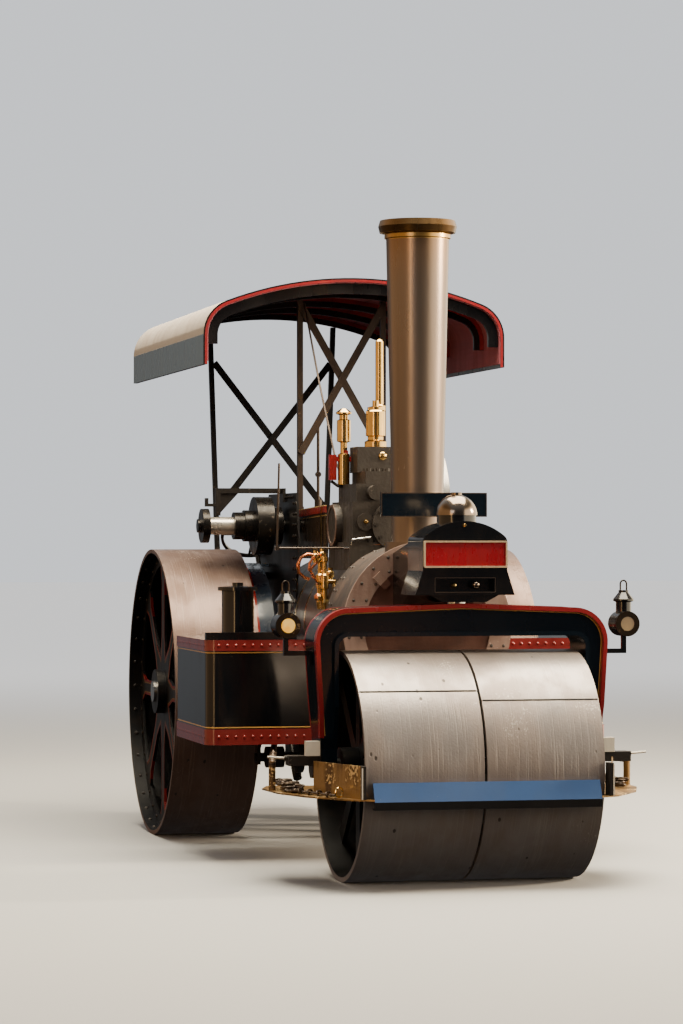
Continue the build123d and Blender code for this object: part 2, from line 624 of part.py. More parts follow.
def boiler_barrel():
    """Lagged boiler barrel."""
    return rod_y(BARREL_R, SMOKEBOX_BACK_Y + SEAT, FIREBOX_FRONT_Y - SEAT, 0, BOILER_Z)


def firebox():
    """Firebox with round top, the ashpan below and the fire hole in its back plate."""
    half = FIREBOX_HALF
    box = slab(-half, half, FIREBOX_FRONT_Y, FIREBOX_BACK_Y, FIREBOX_LOW_Z, BOILER_Z)
    box += rod_y(half, FIREBOX_FRONT_Y, FIREBOX_BACK_Y, 0, BOILER_Z)
    box += slab(-half + 14, half - 14, FIREBOX_FRONT_Y + 14, FIREBOX_BACK_Y - 14, FIREBOX_LOW_Z - 30,
                FIREBOX_LOW_Z)
    box += slab(-ASHPAN_HALF, ASHPAN_HALF, FIREBOX_FRONT_Y + 50, FIREBOX_BACK_Y - 50, ASHPAN_LOW_Z,
                FIREBOX_LOW_Z - 25)
    hole = slab(-FIRE_HOLE_HALF, FIRE_HOLE_HALF, FIREBOX_BACK_Y - FIRE_HOLE_DEEP, FIREBOX_BACK_Y,
                FIRE_HOLE_Z - FIRE_HOLE_HIGH / 2, FIRE_HOLE_Z + FIRE_HOLE_HIGH / 2)
    return box - hole


def firehole_door():
    """Fire door hung on its left edge."""
    y0 = FIREBOX_BACK_Y + MOVING_GAP / 2
    y1 = y0 + FIRE_DOOR_THICK
    half = FIRE_HOLE_HALF + FIRE_DOOR_LAP
    high = FIRE_HOLE_HIGH / 2 + FIRE_DOOR_LAP
    door = slab(-half, half, y0, y1, FIRE_HOLE_Z - high, FIRE_HOLE_Z + high)
    for z in (FIRE_HOLE_Z - high + 40, FIRE_HOLE_Z + high - 40):
        door += rod_z(2 * FIRE_PIN_R, z - 20, z + 20, FIRE_HINGE_X, FIRE_HINGE_Y)
        door += slab(-half, FIRE_HINGE_X, y1 - 4, y1 + 8, z - 18, z + 18)
    door += slab(-half + 20, -half + 44, y1 - 4, y1 + 50, FIRE_HOLE_Z - 12, FIRE_HOLE_Z + 12)
    return door - rod_z(FIRE_PIN_R + RUNNING, FIRE_HOLE_Z - high, FIRE_HOLE_Z + high, FIRE_HINGE_X,
                        FIRE_HINGE_Y)


def firehole_hinge():
    """Pin and brackets that carry the fire door."""
    high = FIRE_HOLE_HIGH / 2 + FIRE_DOOR_LAP
    pin = rod_z(FIRE_PIN_R, FIRE_HOLE_Z - high - 8, FIRE_HOLE_Z + high + 8, FIRE_HINGE_X, FIRE_HINGE_Y)
    for z in (FIRE_HOLE_Z - high - 2, FIRE_HOLE_Z + high - 10):
        pin += slab(FIRE_HINGE_X - 12, FIRE_HINGE_X + 12, FIREBOX_BACK_Y + SEAT, FIRE_HINGE_Y + 12, z,
                    z + 12)
    return pin


def hornplates():
    """Two side plates that join the boiler, the crankshaft and the rear axle."""
    side = outline([(HORN_FRONT_Y, MOTION_LOW_Z), (HORN_FRONT_Y + 90, HORN_TOP_Z),
                    (WHEELBASE - 20, HORN_TOP_Z),
                    (HORN_BACK_Y - 120, HORN_TOP_Z - 330), (HORN_BACK_Y, HORN_TOP_Z - 560),
                    (HORN_BACK_Y, HORN_LOW_Z),
                    (FIREBOX_FRONT_Y + 40, HORN_LOW_Z), (FIREBOX_FRONT_Y + 10, BOILER_Z + 240)])
    plate = side_plate(side, -HORN_FACE, -HORN_FACE + HORN_THICK)
    plate -= rod_x(REAR_AXLE_R + SEAT, -HORN_FACE - 1, -HORN_FACE + HORN_THICK + 1, WHEELBASE, WHEEL_R)
    plate -= rod_x(CRANK_SHAFT_R + RUNNING, -HORN_FACE - 1, -HORN_FACE + HORN_THICK + 1, CRANK_Y, CRANK_Z)
    return [plate, other_side(plate)]


def crank_bearings():
    """Split bearings on the insides of the hornplates."""
    x0 = -HORN_FACE + HORN_THICK + SEAT
    block = slab(x0, x0 + 60, CRANK_Y - 80, CRANK_Y + 80, CRANK_Z - 70, CRANK_Z + 70)
    block += slab(x0, x0 + 60, CRANK_Y - 110, CRANK_Y + 110, CRANK_Z - 90, CRANK_Z - 60)
    block -= rod_x(CRANK_SHAFT_R + RUNNING, x0 - 1, x0 + 61, CRANK_Y, CRANK_Z)
    return [block, other_side(block)]


def crankshaft():
    """Crankshaft with two webs and a pin, the stepped gears and end disc on its right end."""
    web_in = CONROD_HALF + MOVING_GAP / 2
    shaft = rod_x(CRANK_SHAFT_R, -HORN_FACE - CRANK_END, -web_in, CRANK_Y, CRANK_Z)
    shaft += rod_x(CRANK_SHAFT_R, web_in, FLYWHEEL_OUT + 40, CRANK_Y, CRANK_Z)
    for x0 in (-web_in - WEB_THICK, web_in):
        shaft += slab(x0, x0 + WEB_THICK, CRANK_PIN_Y - WEB_END, CRANK_Y + WEB_END + 10, CRANK_Z - WEB_HALF,
                      CRANK_Z + WEB_HALF)
    shaft += rod_x(CRANK_PIN_R, -web_in - 4, web_in + 4, CRANK_PIN_Y, CRANK_Z)
    for r, inner, outer in CRANK_END_STEPS:
        shaft += rod_x(r, -HORN_FACE - outer, -HORN_FACE - inner, CRANK_Y, CRANK_Z)
    return shaft


def crank_bracket():
    """Stay from the right hornplate over the drums, dropping to the end of the crankshaft."""
    half = BRACKET_THICK / 2
    y0 = CRANK_Y - half
    y1 = CRANK_Y + half
    foot_x = -HORN_FACE - SEAT
    stay = slab(foot_x - 16, foot_x, CRANK_Y - BRACKET_FOOT_HALF, CRANK_Y + BRACKET_FOOT_HALF,
                BRACKET_ARM_Z - 50,
                BRACKET_ARM_Z + 30)
    stay += slab(-BRACKET_X, foot_x, y0, y1, BRACKET_ARM_Z, BRACKET_ARM_Z + 30)
    stay += slab(-BRACKET_X, -BRACKET_X + 30, y0, y1, BRACKET_DROP_Z, BRACKET_ARM_Z + 10)
    stay += slab(-BRACKET_END_X, -BRACKET_X + 10, y0, y1, BRACKET_BAR_Z, BRACKET_BAR_Z + 18)
    stay += slab(-BRACKET_END_X, -BRACKET_END_X + 18, y0, y1, BRACKET_BAR_Z, BRACKET_BAR_Z + 50)
    web = outline([(-BRACKET_X + 25, BRACKET_DROP_Z + 10), (-BRACKET_X + 25, BRACKET_ARM_Z + 5),
                   (-BRACKET_X + 140, BRACKET_ARM_Z + 5)])
    return stay + cross_plate(web, CRANK_Y - 6, CRANK_Y + 6)


def flywheel():
    """Flywheel with a heavy rim and curved-sided spokes on the left end of the crankshaft."""
    wheel = rod_x(FLYWHEEL_R, FLYWHEEL_IN, FLYWHEEL_OUT, CRANK_Y, CRANK_Z)
    wheel -= rod_x(FLYWHEEL_R - FLYWHEEL_RIM, FLYWHEEL_IN, FLYWHEEL_OUT, CRANK_Y, CRANK_Z)
    middle = (FLYWHEEL_IN + FLYWHEEL_OUT) / 2
    wheel += rod_x(FLYWHEEL_HUB_R, FLYWHEEL_IN + 2, FLYWHEEL_OUT + 20, CRANK_Y, CRANK_Z)
    for count in range(FLYWHEEL_SPOKES):
        spoke = slab(middle - 18, middle + 18, -32, 32, FLYWHEEL_HUB_R - 15, FLYWHEEL_R - FLYWHEEL_RIM / 2)
        wheel += Pos(0, CRANK_Y, CRANK_Z) * Rot(360 * count / FLYWHEEL_SPOKES, 0, 0) * spoke
    return wheel - rod_x(CRANK_SHAFT_R, FLYWHEEL_IN - 1, FLYWHEEL_OUT + 41, CRANK_Y, CRANK_Z)


def connecting_rod():
    """Connecting rod from the crankpin forward to the crosshead, with its short gudgeon pin."""
    rod = rod_x(CONROD_BIG_R, -CONROD_HALF, CONROD_HALF, CRANK_PIN_Y, CRANK_Z)
    rod += rod_x(CONROD_SMALL_R, -CONROD_HALF + 6, CONROD_HALF - 6, GUDGEON_Y, CRANK_Z)
    shank = outline([(GUDGEON_Y + 20, CRANK_Z - 22), (GUDGEON_Y + 20, CRANK_Z + 22),
                     (CRANK_PIN_Y - 50, CRANK_Z + 34), (CRANK_PIN_Y - 50, CRANK_Z - 34)])
    rod += side_plate(shank, -CONROD_HALF + 14, CONROD_HALF - 14)
    rod += rod_x(CONROD_SMALL_R - 18, -CONROD_HALF, CONROD_HALF, GUDGEON_Y, CRANK_Z)
    return rod - rod_x(CRANK_PIN_R + RUNNING, -CONROD_HALF - 1, CONROD_HALF + 1, CRANK_PIN_Y, CRANK_Z)


def crosshead():
    """Crosshead cheeks either side of the rod's small end, joined in front of it to the piston rod."""
    cheek_x = CONROD_HALF + 8
    bridge_y = GUDGEON_Y - CONROD_SMALL_R - MOVING_GAP
    head = slab(-cheek_x - 26, cheek_x + 26, bridge_y - 30, bridge_y, CRANK_Z - 42, CRANK_Z + 42)
    for x0 in (-cheek_x - 26, cheek_x):
        head += slab(x0, x0 + 26, bridge_y - 30, GUDGEON_Y + 60, CRANK_Z - 42, CRANK_Z + 42)
    return head + rod_y(26, BLOCK_BACK_Y + SEAT, bridge_y - 20, 0, CRANK_Z)


def slide_bars():
    """Four flat bars that guide the crosshead, fixed to the cylinder block and a yoke plate."""
    x0 = CONROD_HALF + 12
    bars = []
    for z in (CRANK_Z - 62 - SEAT, CRANK_Z + 42 + SEAT):
        bars.append(slab(-x0 - 22, -x0, BLOCK_BACK_Y + SEAT, SLIDE_BACK_Y, z, z + 20))
        bars.append(slab(x0, x0 + 22, BLOCK_BACK_Y + SEAT, SLIDE_BACK_Y, z, z + 20))
    return bars


def cylinder_block():
    """Cylinder casting with its foot on the boiler, valve chest, stepped top, tower and end covers."""
    foot = slab(-BLOCK_HALF - 20, BLOCK_HALF + 20, BLOCK_FRONT_Y - 20, BLOCK_BACK_Y,
                BOILER_Z + sqrt(BARREL_R ** 2 - BLOCK_HALF ** 2) - 60, BLOCK_FOOT_Z)
    foot -= rod_y(BARREL_R + SEAT, BLOCK_FRONT_Y - 100, BLOCK_BACK_Y + 100, 0, BOILER_Z)
    block = foot + slab(-BLOCK_HALF, BLOCK_HALF, BLOCK_FRONT_Y, BLOCK_BACK_Y, BLOCK_FOOT_Z - 40,
                        BLOCK_WAIST_Z)
    block += slab(-BLOCK_HALF + 30, BLOCK_HALF - 30, BLOCK_FRONT_Y + 40, BLOCK_BACK_Y - 30,
                  BLOCK_WAIST_Z - 5,
                  BLOCK_CHEST_Z)
    block += slab(-BLOCK_TOP_HALF, BLOCK_TOP_HALF, BLOCK_FRONT_Y + 90, BLOCK_BACK_Y - 90, BLOCK_CHEST_Z - 5,
                  BLOCK_TOP_Z)
    block += slab(TOWER_RIGHT_X, TOWER_LEFT_X, BLOCK_BACK_Y - 290, BLOCK_BACK_Y - 100, BLOCK_TOP_Z - 5,
                  TOWER_TOP_Z)
    block += rod_y(BLOCK_COVER_R, BLOCK_FRONT_Y - 34, BLOCK_FRONT_Y + 10, 0, CRANK_Z)
    for x, lift, r in BLOCK_FRONT_COVERS:
        block += rod_y(r, BLOCK_FRONT_Y - 20, BLOCK_FRONT_Y + 60, x, CRANK_Z + lift)
    for x0 in (-BLOCK_HALF - BLOCK_BOSS, BLOCK_HALF - 5):
        block += rod_x(BLOCK_SIDE_COVER_R, x0, x0 + BLOCK_BOSS + 5, BLOCK_BACK_Y - 160, CRANK_Z)
    return block


def turned(profile, x, y, z):
    """Round piece about an upright axis through (x, y) from (radius, height) pairs above z."""
    points = [(0, 0)] + list(profile) + [(0, profile[-1][1])]
    return Pos(x, y, z) * revolve(Plane.XZ * outline(points), Axis.Z)


def brass_fittings():
    """Lubricator, safety valve and whistle on the cylinder block."""
    return [turned(profile, x, BLOCK_BACK_Y - ahead, z + SEAT) for profile, x, ahead, z in BRASS_PIECES]


def motion_sheets():
    """Lined side sheets beside the slide bars and crank, with their top strips."""
    front_y = BLOCK_BACK_Y + SEAT
    back_z = MOTION_HIGH_Z - MOTION_FALL
    face = outline([(front_y, MOTION_LOW_Z), (front_y, MOTION_HIGH_Z), (MOTION_BACK_Y, back_z),
                    (MOTION_BACK_Y, MOTION_LOW_Z)])
    sheet = side_plate(face, -MOTION_HALF, -MOTION_HALF + 8)
    strip = outline([(front_y, MOTION_HIGH_Z - MOTION_STRIP), (front_y, MOTION_HIGH_Z),
                     (MOTION_BACK_Y, back_z),
                     (MOTION_BACK_Y, back_z - MOTION_STRIP)])
    sheet += side_plate(strip, -MOTION_HALF - 8, -MOTION_HALF + 2)
    sheet -= rod_x(CRANK_SHAFT_R + RUNNING, -MOTION_HALF - 20, -MOTION_HALF + 20, CRANK_Y, CRANK_Z)
    return [sheet, other_side(sheet)]


def belly_tank():
    """Belly tank below the barrel with rounded corners, riveted edge strips and a ledge bar on top."""
    plan = outline([(-TANK_HALF, TANK_FRONT_Y), (TANK_HALF, TANK_FRONT_Y), (TANK_HALF, TANK_BACK_Y),
                    (-TANK_HALF, TANK_BACK_Y)])
    plan = fillet(plan.vertices(), TANK_CORNER_R)
    tank = flat_plate(offset(plan, -TANK_STRIP), TANK_LOW_Z, TANK_HIGH_Z)
    tank += flat_plate(plan, TANK_LOW_Z, TANK_LOW_Z + TANK_LOW_STRIP)
    tank += flat_plate(plan, TANK_HIGH_Z - TANK_HIGH_STRIP, TANK_HIGH_Z)
    tank -= rod_y(SMOKEBOX_R + TANK_SADDLE_GAP, TANK_FRONT_Y - 50, SMOKEBOX_BACK_Y + 40, 0, BOILER_Z)
    tank -= rod_y(BARREL_R + TANK_SADDLE_GAP, TANK_FRONT_Y - 50, TANK_BACK_Y + 50, 0, BOILER_Z)
    ledge_y = TANK_FRONT_Y + TANK_CORNER_R / 2
    return tank + slab(-TANK_HALF + TANK_STRIP, -LEDGE_END_X, ledge_y, ledge_y + LEDGE_WIDE,
                       TANK_HIGH_Z - 5,
                       TANK_HIGH_Z + LEDGE_HIGH)


def tank_saddles():
    """Curved plates that hang the tank from the barrel."""
    plates = []
    for y in (SMOKEBOX_BACK_Y + SADDLE_WIDE, TANK_BACK_Y - 2 * SADDLE_WIDE):
        ring = rod_y(BARREL_R + TANK_SADDLE_GAP - SEAT, y, y + SADDLE_WIDE, 0, BOILER_Z)
        ring -= rod_y(BARREL_R + SEAT, y, y + SADDLE_WIDE, 0, BOILER_Z)
        below = slab(-BARREL_R, BARREL_R, y, y + SADDLE_WIDE, BOILER_Z - 2 * BARREL_R, TANK_HIGH_Z - 80)
        plates.append(ring & below)
    return plates


def tank_canister():
    """Filler pot with a lid on the tank's right side."""
    return turned(CANISTER, -CANISTER_X, CANISTER_Y, TANK_HIGH_Z + SEAT)


def gear_guard():
    """Curved guard over the final gear on the right side, stayed from the hornplate."""
    guard = rod_x(GUARD_R, -GUARD_OUT, -GUARD_IN, WHEELBASE, GUARD_Z)
    guard -= rod_x(GUARD_R - GUARD_THICK, -GUARD_OUT + GUARD_THICK, -GUARD_IN + 1, WHEELBASE, GUARD_Z)
    far_y = TENDER_FRONT_Y - MOVING_GAP
    guard &= slab(-GUARD_OUT, -GUARD_IN, WHEELBASE - GUARD_R - 10, far_y, GUARD_Z - 60, GUARD_Z + GUARD_R + 10)
    guard -= rod_x(GUARD_HOLE_R, -GUARD_OUT - 1, -GUARD_IN, WHEELBASE, WHEEL_R)
    for y, z, half_long, half_high in GUARD_STAYS:
        guard += slab(-GUARD_IN - 10, -HORN_FACE - SEAT, y - half_long, y + half_long, z - half_high,
                      z + half_high)
    return guard


def final_gear():
    """Big toothed gear beside the right rear wheel, with the sleeve that joins it to the hub."""
    points = []
    for count in range(GEAR_TEETH):
        for share, r in ((0.0, GEAR_R - GEAR_TOOTH), (0.3, GEAR_R - GEAR_TOOTH), (0.42, GEAR_R),
                         (0.8, GEAR_R)):
            turn = 2 * pi * (count + share) / GEAR_TEETH
            points.append((WHEELBASE + r * cos(turn), WHEEL_R + r * sin(turn)))
    gear = side_plate(outline(points), -GEAR_OUT, -GEAR_IN)
    gear += rod_x(GEAR_SLEEVE_R, -WHEEL_IN - 10 + SEAT, -GEAR_OUT + 1, WHEELBASE, WHEEL_R)
    return gear - rod_x(REAR_AXLE_R + RUNNING, -WHEEL_IN - 10, -GEAR_IN + 1, WHEELBASE, WHEEL_R)


def rear_axle():
    """Straight axle through both hornplates."""
    axle = rod_x(REAR_AXLE_R, -WHEEL_OUT + 6, WHEEL_OUT - 6, WHEELBASE, WHEEL_R)
    for x0 in (-HORN_FACE - AXLE_FLANGE, HORN_FACE + SEAT):
        axle += rod_x(REAR_AXLE_R + AXLE_FLANGE, x0, x0 + AXLE_FLANGE - SEAT, WHEELBASE, WHEEL_R)
    return axle


def rear_wheel():
    """Right rear wheel: smooth tread, inner T rings, two rings of flat spokes and a hub."""
    wheel = rod_x(WHEEL_R, -WHEEL_OUT, -WHEEL_IN, WHEELBASE, WHEEL_R)
    wheel -= rod_x(WHEEL_R - WHEEL_RIM, -WHEEL_OUT, -WHEEL_IN, WHEELBASE, WHEEL_R)
    rings = ((-WHEEL_OUT + WHEEL_RING_INSET, 0.0), (-WHEEL_IN - WHEEL_RING_INSET - WHEEL_RING_THICK, 0.5))
    for x0, offset_turn in rings:
        ring = rod_x(WHEEL_R - WHEEL_RIM + 1, x0, x0 + WHEEL_RING_THICK, WHEELBASE, WHEEL_R)
        ring -= rod_x(WHEEL_R - WHEEL_RIM - WHEEL_RING_HIGH, x0, x0 + WHEEL_RING_THICK, WHEELBASE, WHEEL_R)
        for count in range(WHEEL_SPOKES):
            spoke = outline(list(SPOKE_OUTLINE) + [(-half, out) for half, out in reversed(SPOKE_OUTLINE)])
            turn = 360.0 * (count + offset_turn) / WHEEL_SPOKES
            ring += Pos(0, WHEELBASE, WHEEL_R) * Rot(turn, 0, 0) * side_plate(spoke, x0,
                                                                              x0 + WHEEL_RING_THICK)
        wheel += ring
    wheel += rod_x(WHEEL_HUB_R, -WHEEL_OUT + 20, -WHEEL_IN - 10, WHEELBASE, WHEEL_R)
    return wheel - rod_x(REAR_AXLE_R + RUNNING, -WHEEL_OUT - 1, -WHEEL_IN + 1, WHEELBASE, WHEEL_R)


def tender():
    """Open coal bunker over the rear water tank, with a raised rolled top edge."""
    low_z = FOOTPLATE_Z + STEP_HIGH
    side = outline([(TENDER_FRONT_Y, TENDER_LOW_Z), (TENDER_FRONT_Y, low_z), (BUNKER_FRONT_Y - 250, low_z),
                    (BUNKER_FRONT_Y - 160, TENDER_HIGH_Z),
                    (TENDER_BACK_Y, TENDER_HIGH_Z), (TENDER_BACK_Y, TENDER_LOW_Z + 120),
                    (TENDER_BACK_Y - 200, TENDER_LOW_Z)])
    body = side_plate(side, -TENDER_HALF, TENDER_HALF)
    wall = TENDER_WALL
    body -= slab(-TENDER_HALF + wall, TENDER_HALF - wall, TENDER_FRONT_Y - 1, BUNKER_FRONT_Y - wall,
                 FOOTPLATE_Z,
                 TENDER_HIGH_Z + 10)
    body -= slab(-TENDER_HALF + wall, TENDER_HALF - wall, BUNKER_FRONT_Y, TENDER_BACK_Y - wall,
                 BUNKER_FLOOR_Z,
                 TENDER_HIGH_Z + 10)
    coping = TENDER_COPING
    side_half = TENDER_HALF + wall
    inner_half = TENDER_HALF - coping
    rail_y = BUNKER_FRONT_Y - wall
    rail = outline([(-side_half, rail_y), (-side_half, TENDER_BACK_Y + wall),
                    (side_half, TENDER_BACK_Y + wall),
                    (side_half, rail_y), (inner_half, rail_y), (inner_half, TENDER_BACK_Y - coping),
                    (-inner_half, TENDER_BACK_Y - coping), (-inner_half, rail_y)])
    return body + flat_plate(rail, TENDER_HIGH_Z, TENDER_HIGH_Z + wall)


def footplate():
    """Chequered floor between the hornplates and the tender."""
    return slab(-FIREBOX_HALF, FIREBOX_HALF, FIREBOX_BACK_Y + 60, TENDER_FRONT_Y - SEAT,
                FOOTPLATE_Z - FOOTPLATE_THICK, FOOTPLATE_Z)


def drawbar():
    """Towing hitch behind the tender with an upright pin hole."""
    y0 = TENDER_BACK_Y + SEAT
    plate = slab(-110, 110, y0, y0 + 20, DRAWBAR_Z - 100, DRAWBAR_Z + 100)
    eye_y = DRAWBAR_BACK_Y - DRAWBAR_EYE_R
    low_z = DRAWBAR_Z - DRAWBAR_HIGH / 2
    body = slab(-DRAWBAR_EYE_R, DRAWBAR_EYE_R, y0, eye_y, low_z, low_z + DRAWBAR_HIGH)
    body += rod_z(DRAWBAR_EYE_R, low_z, low_z + DRAWBAR_HIGH, 0, eye_y)
    return plate + body - rod_z(DRAWBAR_PIN_R, low_z - 1, low_z + DRAWBAR_HIGH + 1, 0, eye_y)


def roof_face(inset):
    """Arched roof outline seen from the front, shrunk by inset."""
    arch_r = ROOF_ARCH_R - inset
    half = ROOF_HALF - inset
    crown = Pos(0, ROOF_CROWN_Z - ROOF_ARCH_R) * Circle(arch_r)
    high = 2 * (ROOF_CROWN_Z - VALANCE_LOW_Z)
    face = crown & (Pos(0, VALANCE_LOW_Z + high / 2) * Rectangle(2 * half, high))
    return fillet([v for v in face.vertices() if v.Y > VALANCE_LOW_Z + 100], ROOF_CORNER_R - inset)


def canopy_roof():
    """Curved canopy with turned-down sides and a bow under its front edge."""
    shell = cross_plate(roof_face(0), ROOF_FRONT_Y, ROOF_BACK_Y)
    shell -= cross_plate(roof_face(ROOF_THICK), ROOF_FRONT_Y, ROOF_BACK_Y)
    for behind in ROOF_BOWS:
        y = ROOF_FRONT_Y + behind
        bow = cross_plate(roof_face(ROOF_THICK - 1) - roof_face(ROOF_BOW_DEEP), y, y + ROOF_BOW_THICK)
        shell += bow & slab(-ROOF_HALF, ROOF_HALF, y, y + ROOF_BOW_THICK, VALANCE_LOW_Z + 120, ROOF_CROWN_Z)
    return shell


def roof_height(x):
    """Height of the underside of the roof's bows at a distance from the middle line."""
    arch_r = ROOF_ARCH_R - ROOF_BOW_DEEP
    return ROOF_CROWN_Z - ROOF_ARCH_R + sqrt(arch_r * arch_r - x * x) - SEAT


def front_frame():
    """Front canopy posts and their crossed flat braces."""
    y = FRONT_POST_Y
    pieces = []
    for side in (-1, 1):
        x = side * FRONT_POST_X
        foot = slab(FRONT_POST_X - POST_HALF, FIREBOX_HALF, y - 40, y + 40, HORN_TOP_Z - 120,
                    HORN_TOP_Z - 75)
        post = slab(x - POST_HALF, x + POST_HALF, y - POST_HALF, y + POST_HALF, HORN_TOP_Z - 80,
                    roof_height(abs(x) + POST_HALF))
        pieces.append(post + (foot if side > 0 else other_side(foot)))
    for side in (-1, 1):
        face_y = y - POST_HALF - (SEAT + BRACE_THICK) * (1 if side < 0 else 2) + BRACE_THICK / 2
        pieces.append(bar((-side * FRONT_POST_X, face_y, BRACE_LOW_Z),
                          (side * FRONT_POST_X, face_y, BRACE_HIGH_Z),
                          BRACE_WIDE, BRACE_THICK))
    return pieces


def rear_frame():
    """Rear canopy posts on the tender sides with crossed flat braces."""
    y = REAR_POST_Y
    pieces = []
    for side in (-1, 1):
        top_x = side * REAR_POST_TOP_X
        pieces.append(bar((side * REAR_POST_X, y, TENDER_HIGH_Z + TENDER_WALL + 3 * SEAT),
                          (top_x, y, roof_height(abs(top_x) + POST_HALF)), 2 * POST_HALF, 2 * POST_HALF))
    for side in (-1, 1):
        face_y = y - POST_HALF - (SEAT + BRACE_THICK) * (1 if side < 0 else 2) + BRACE_THICK / 2
        pieces.append(bar((-side * REAR_POST_X, face_y, REAR_BRACE_LOW_Z),
                          (side * (REAR_POST_X + 30), face_y, REAR_BRACE_HIGH_Z), BRACE_WIDE,
                          BRACE_THICK))
    return pieces


def front_axle():
    """Fixed axle of the front rolls with collars against the yoke legs."""
    end = YOKE_FOOT_HALF + 30
    axle = rod_x(FRONT_AXLE_R, -end, end, 0, ROLL_R)
    for x0 in (-end - 12, end):
        axle += rod_x(FRONT_AXLE_R + AXLE_COLLAR, x0, x0 + 12, 0, ROLL_R)
    return axle


def scraper_bar():
    """Angle scraper across the front of the rolls: folded blade over a level foot."""
    y = BAR_FRONT_Y
    thick = BAR_THICK
    face = outline([(y, BAR_LOW_Z), (y, BAR_FOLD_Z), (y + BAR_DEPTH - thick, BAR_TOP_Z),
                    (y + BAR_DEPTH, BAR_TOP_Z - thick / 2), (y + thick, BAR_FOLD_Z - thick / 2),
                    (y + thick, BAR_LOW_Z + thick), (y + BAR_DEPTH, BAR_LOW_Z + thick),
                    (y + BAR_DEPTH, BAR_LOW_Z)])
    return side_plate(face, -BAR_HALF, BAR_HALF)


def tray():
    """Half-moon plate beside the right leg of the yoke with its curved upstand."""
    bar_x = -BAR_HALF - SEAT
    inner_x = -ROLL_HALF_WIDTH - 18
    y = BAR_FRONT_Y + 2
    back_y = YOKE_DEPTH / 2 + 310
    plate = outline([(bar_x, y), (inner_x - 54, y + 58), (-TRAY_HALF + 108, y + 323),
                     (-TRAY_HALF + 18, y + 593),
                     (-TRAY_HALF, CHAIN_LUG_Y + 150), (-TRAY_HALF + 58, back_y - 30),
                     (-TRAY_HALF + 178, back_y),
                     (inner_x - 19, back_y - 70), (inner_x, -ROLL_R + 31), (inner_x, -ROLL_R - BAR_GAP),
                     (bar_x, -ROLL_R - BAR_GAP)])
    edge = [(inner_x - 6, y + 23), (inner_x - 58, y + 173), (inner_x - 154, y + 483)]
    upstand = edge + [(x + TRAY_THICK, y - 2) for x, y in reversed(edge)]
    return (flat_plate(plate, TRAY_Z - TRAY_THICK, TRAY_Z)
            + flat_plate(outline(upstand), TRAY_Z - 1, TRAY_Z + TRAY_UPSTAND_HIGH))


def foot_block():
    """Packing between the yoke's right foot and the tray."""
    half = YOKE_FOOT_DEPTH / 2 - 25
    return slab(-YOKE_FOOT_HALF + 6, -YOKE_INNER_HALF - 4, -half, half, TRAY_Z + SEAT, YOKE_FOOT_Z - SEAT)


def lamp(side):
    """Round lamp with a chimney cap, carried on a bracket from the yoke."""
    x = side * LAMP_X
    body = rod_y(LAMP_R, -70, 60, x, LAMP_Z)
    body -= rod_y(LAMP_R - 16, -71, -58, x, LAMP_Z)
    body += turned(LAMP_TOP, x, 0, LAMP_Z + LAMP_R - 14)
    root = yoke_edge(LAMP_ARM_Z + 12) + SEAT
    arm = slab(root, LAMP_X + 12, -12, 12, LAMP_ARM_Z - 12, LAMP_ARM_Z + 12)
    arm += slab(LAMP_X - 12, LAMP_X + 12, -12, 12, LAMP_ARM_Z, LAMP_Z - LAMP_R + 8)
    arm += slab(root, root + 10, -30, 30, LAMP_ARM_Z - 60, LAMP_ARM_Z + 12)
    return body + (arm if side > 0 else other_side(arm))


def lamp_lens(side):
    """Glass of one lamp."""
    return rod_y(LAMP_R - 16 - SEAT, -66, -58 - SEAT, side * LAMP_X, LAMP_Z)


def steering_barrel():
    """Chain barrel hung below the tank, its shaft and the worm wheel inside the right drum."""
    barrel = rod_x(DRUM_SHAFT_R, -HANGER_OUT_X - 20, HANGER_OUT_X + 20, DRUM_Y, DRUM_Z)
    for x in (-DRUM_X, DRUM_X):
        barrel += rod_x(DRUM_R, x - DRUM_HALF, x + DRUM_HALF, DRUM_Y, DRUM_Z)
    return barrel + rod_x(WORM_WHEEL_R, -WORM_WHEEL_X - WORM_WHEEL_THICK, -WORM_WHEEL_X, DRUM_Y, DRUM_Z)


def barrel_hangers():
    """Four plates below the tank that carry the barrel's shaft."""
    plates = []
    for x in (-HANGER_OUT_X, -HANGER_IN_X, HANGER_IN_X, HANGER_OUT_X):
        plate = slab(x - 8, x + 8, DRUM_Y - 40, DRUM_Y + 40, DRUM_Z - 40, TANK_LOW_Z - SEAT)
        plates.append(plate - rod_x(DRUM_SHAFT_R + SEAT, x - 9, x + 9, DRUM_Y, DRUM_Z))
    return plates


def on_column(along, across=0.0):
    """Point in y and z on the steering column, along it from the worm and square to it."""
    reach = WORM_WHEEL_R + WORM_R + 1
    y = DRUM_Y + reach * sin(COLUMN_SLOPE) + along * cos(COLUMN_SLOPE) - across * sin(COLUMN_SLOPE)
    z = DRUM_Z - reach * cos(COLUMN_SLOPE) + along * sin(COLUMN_SLOPE) + across * cos(COLUMN_SLOPE)
    return (-COLUMN_X, y, z)


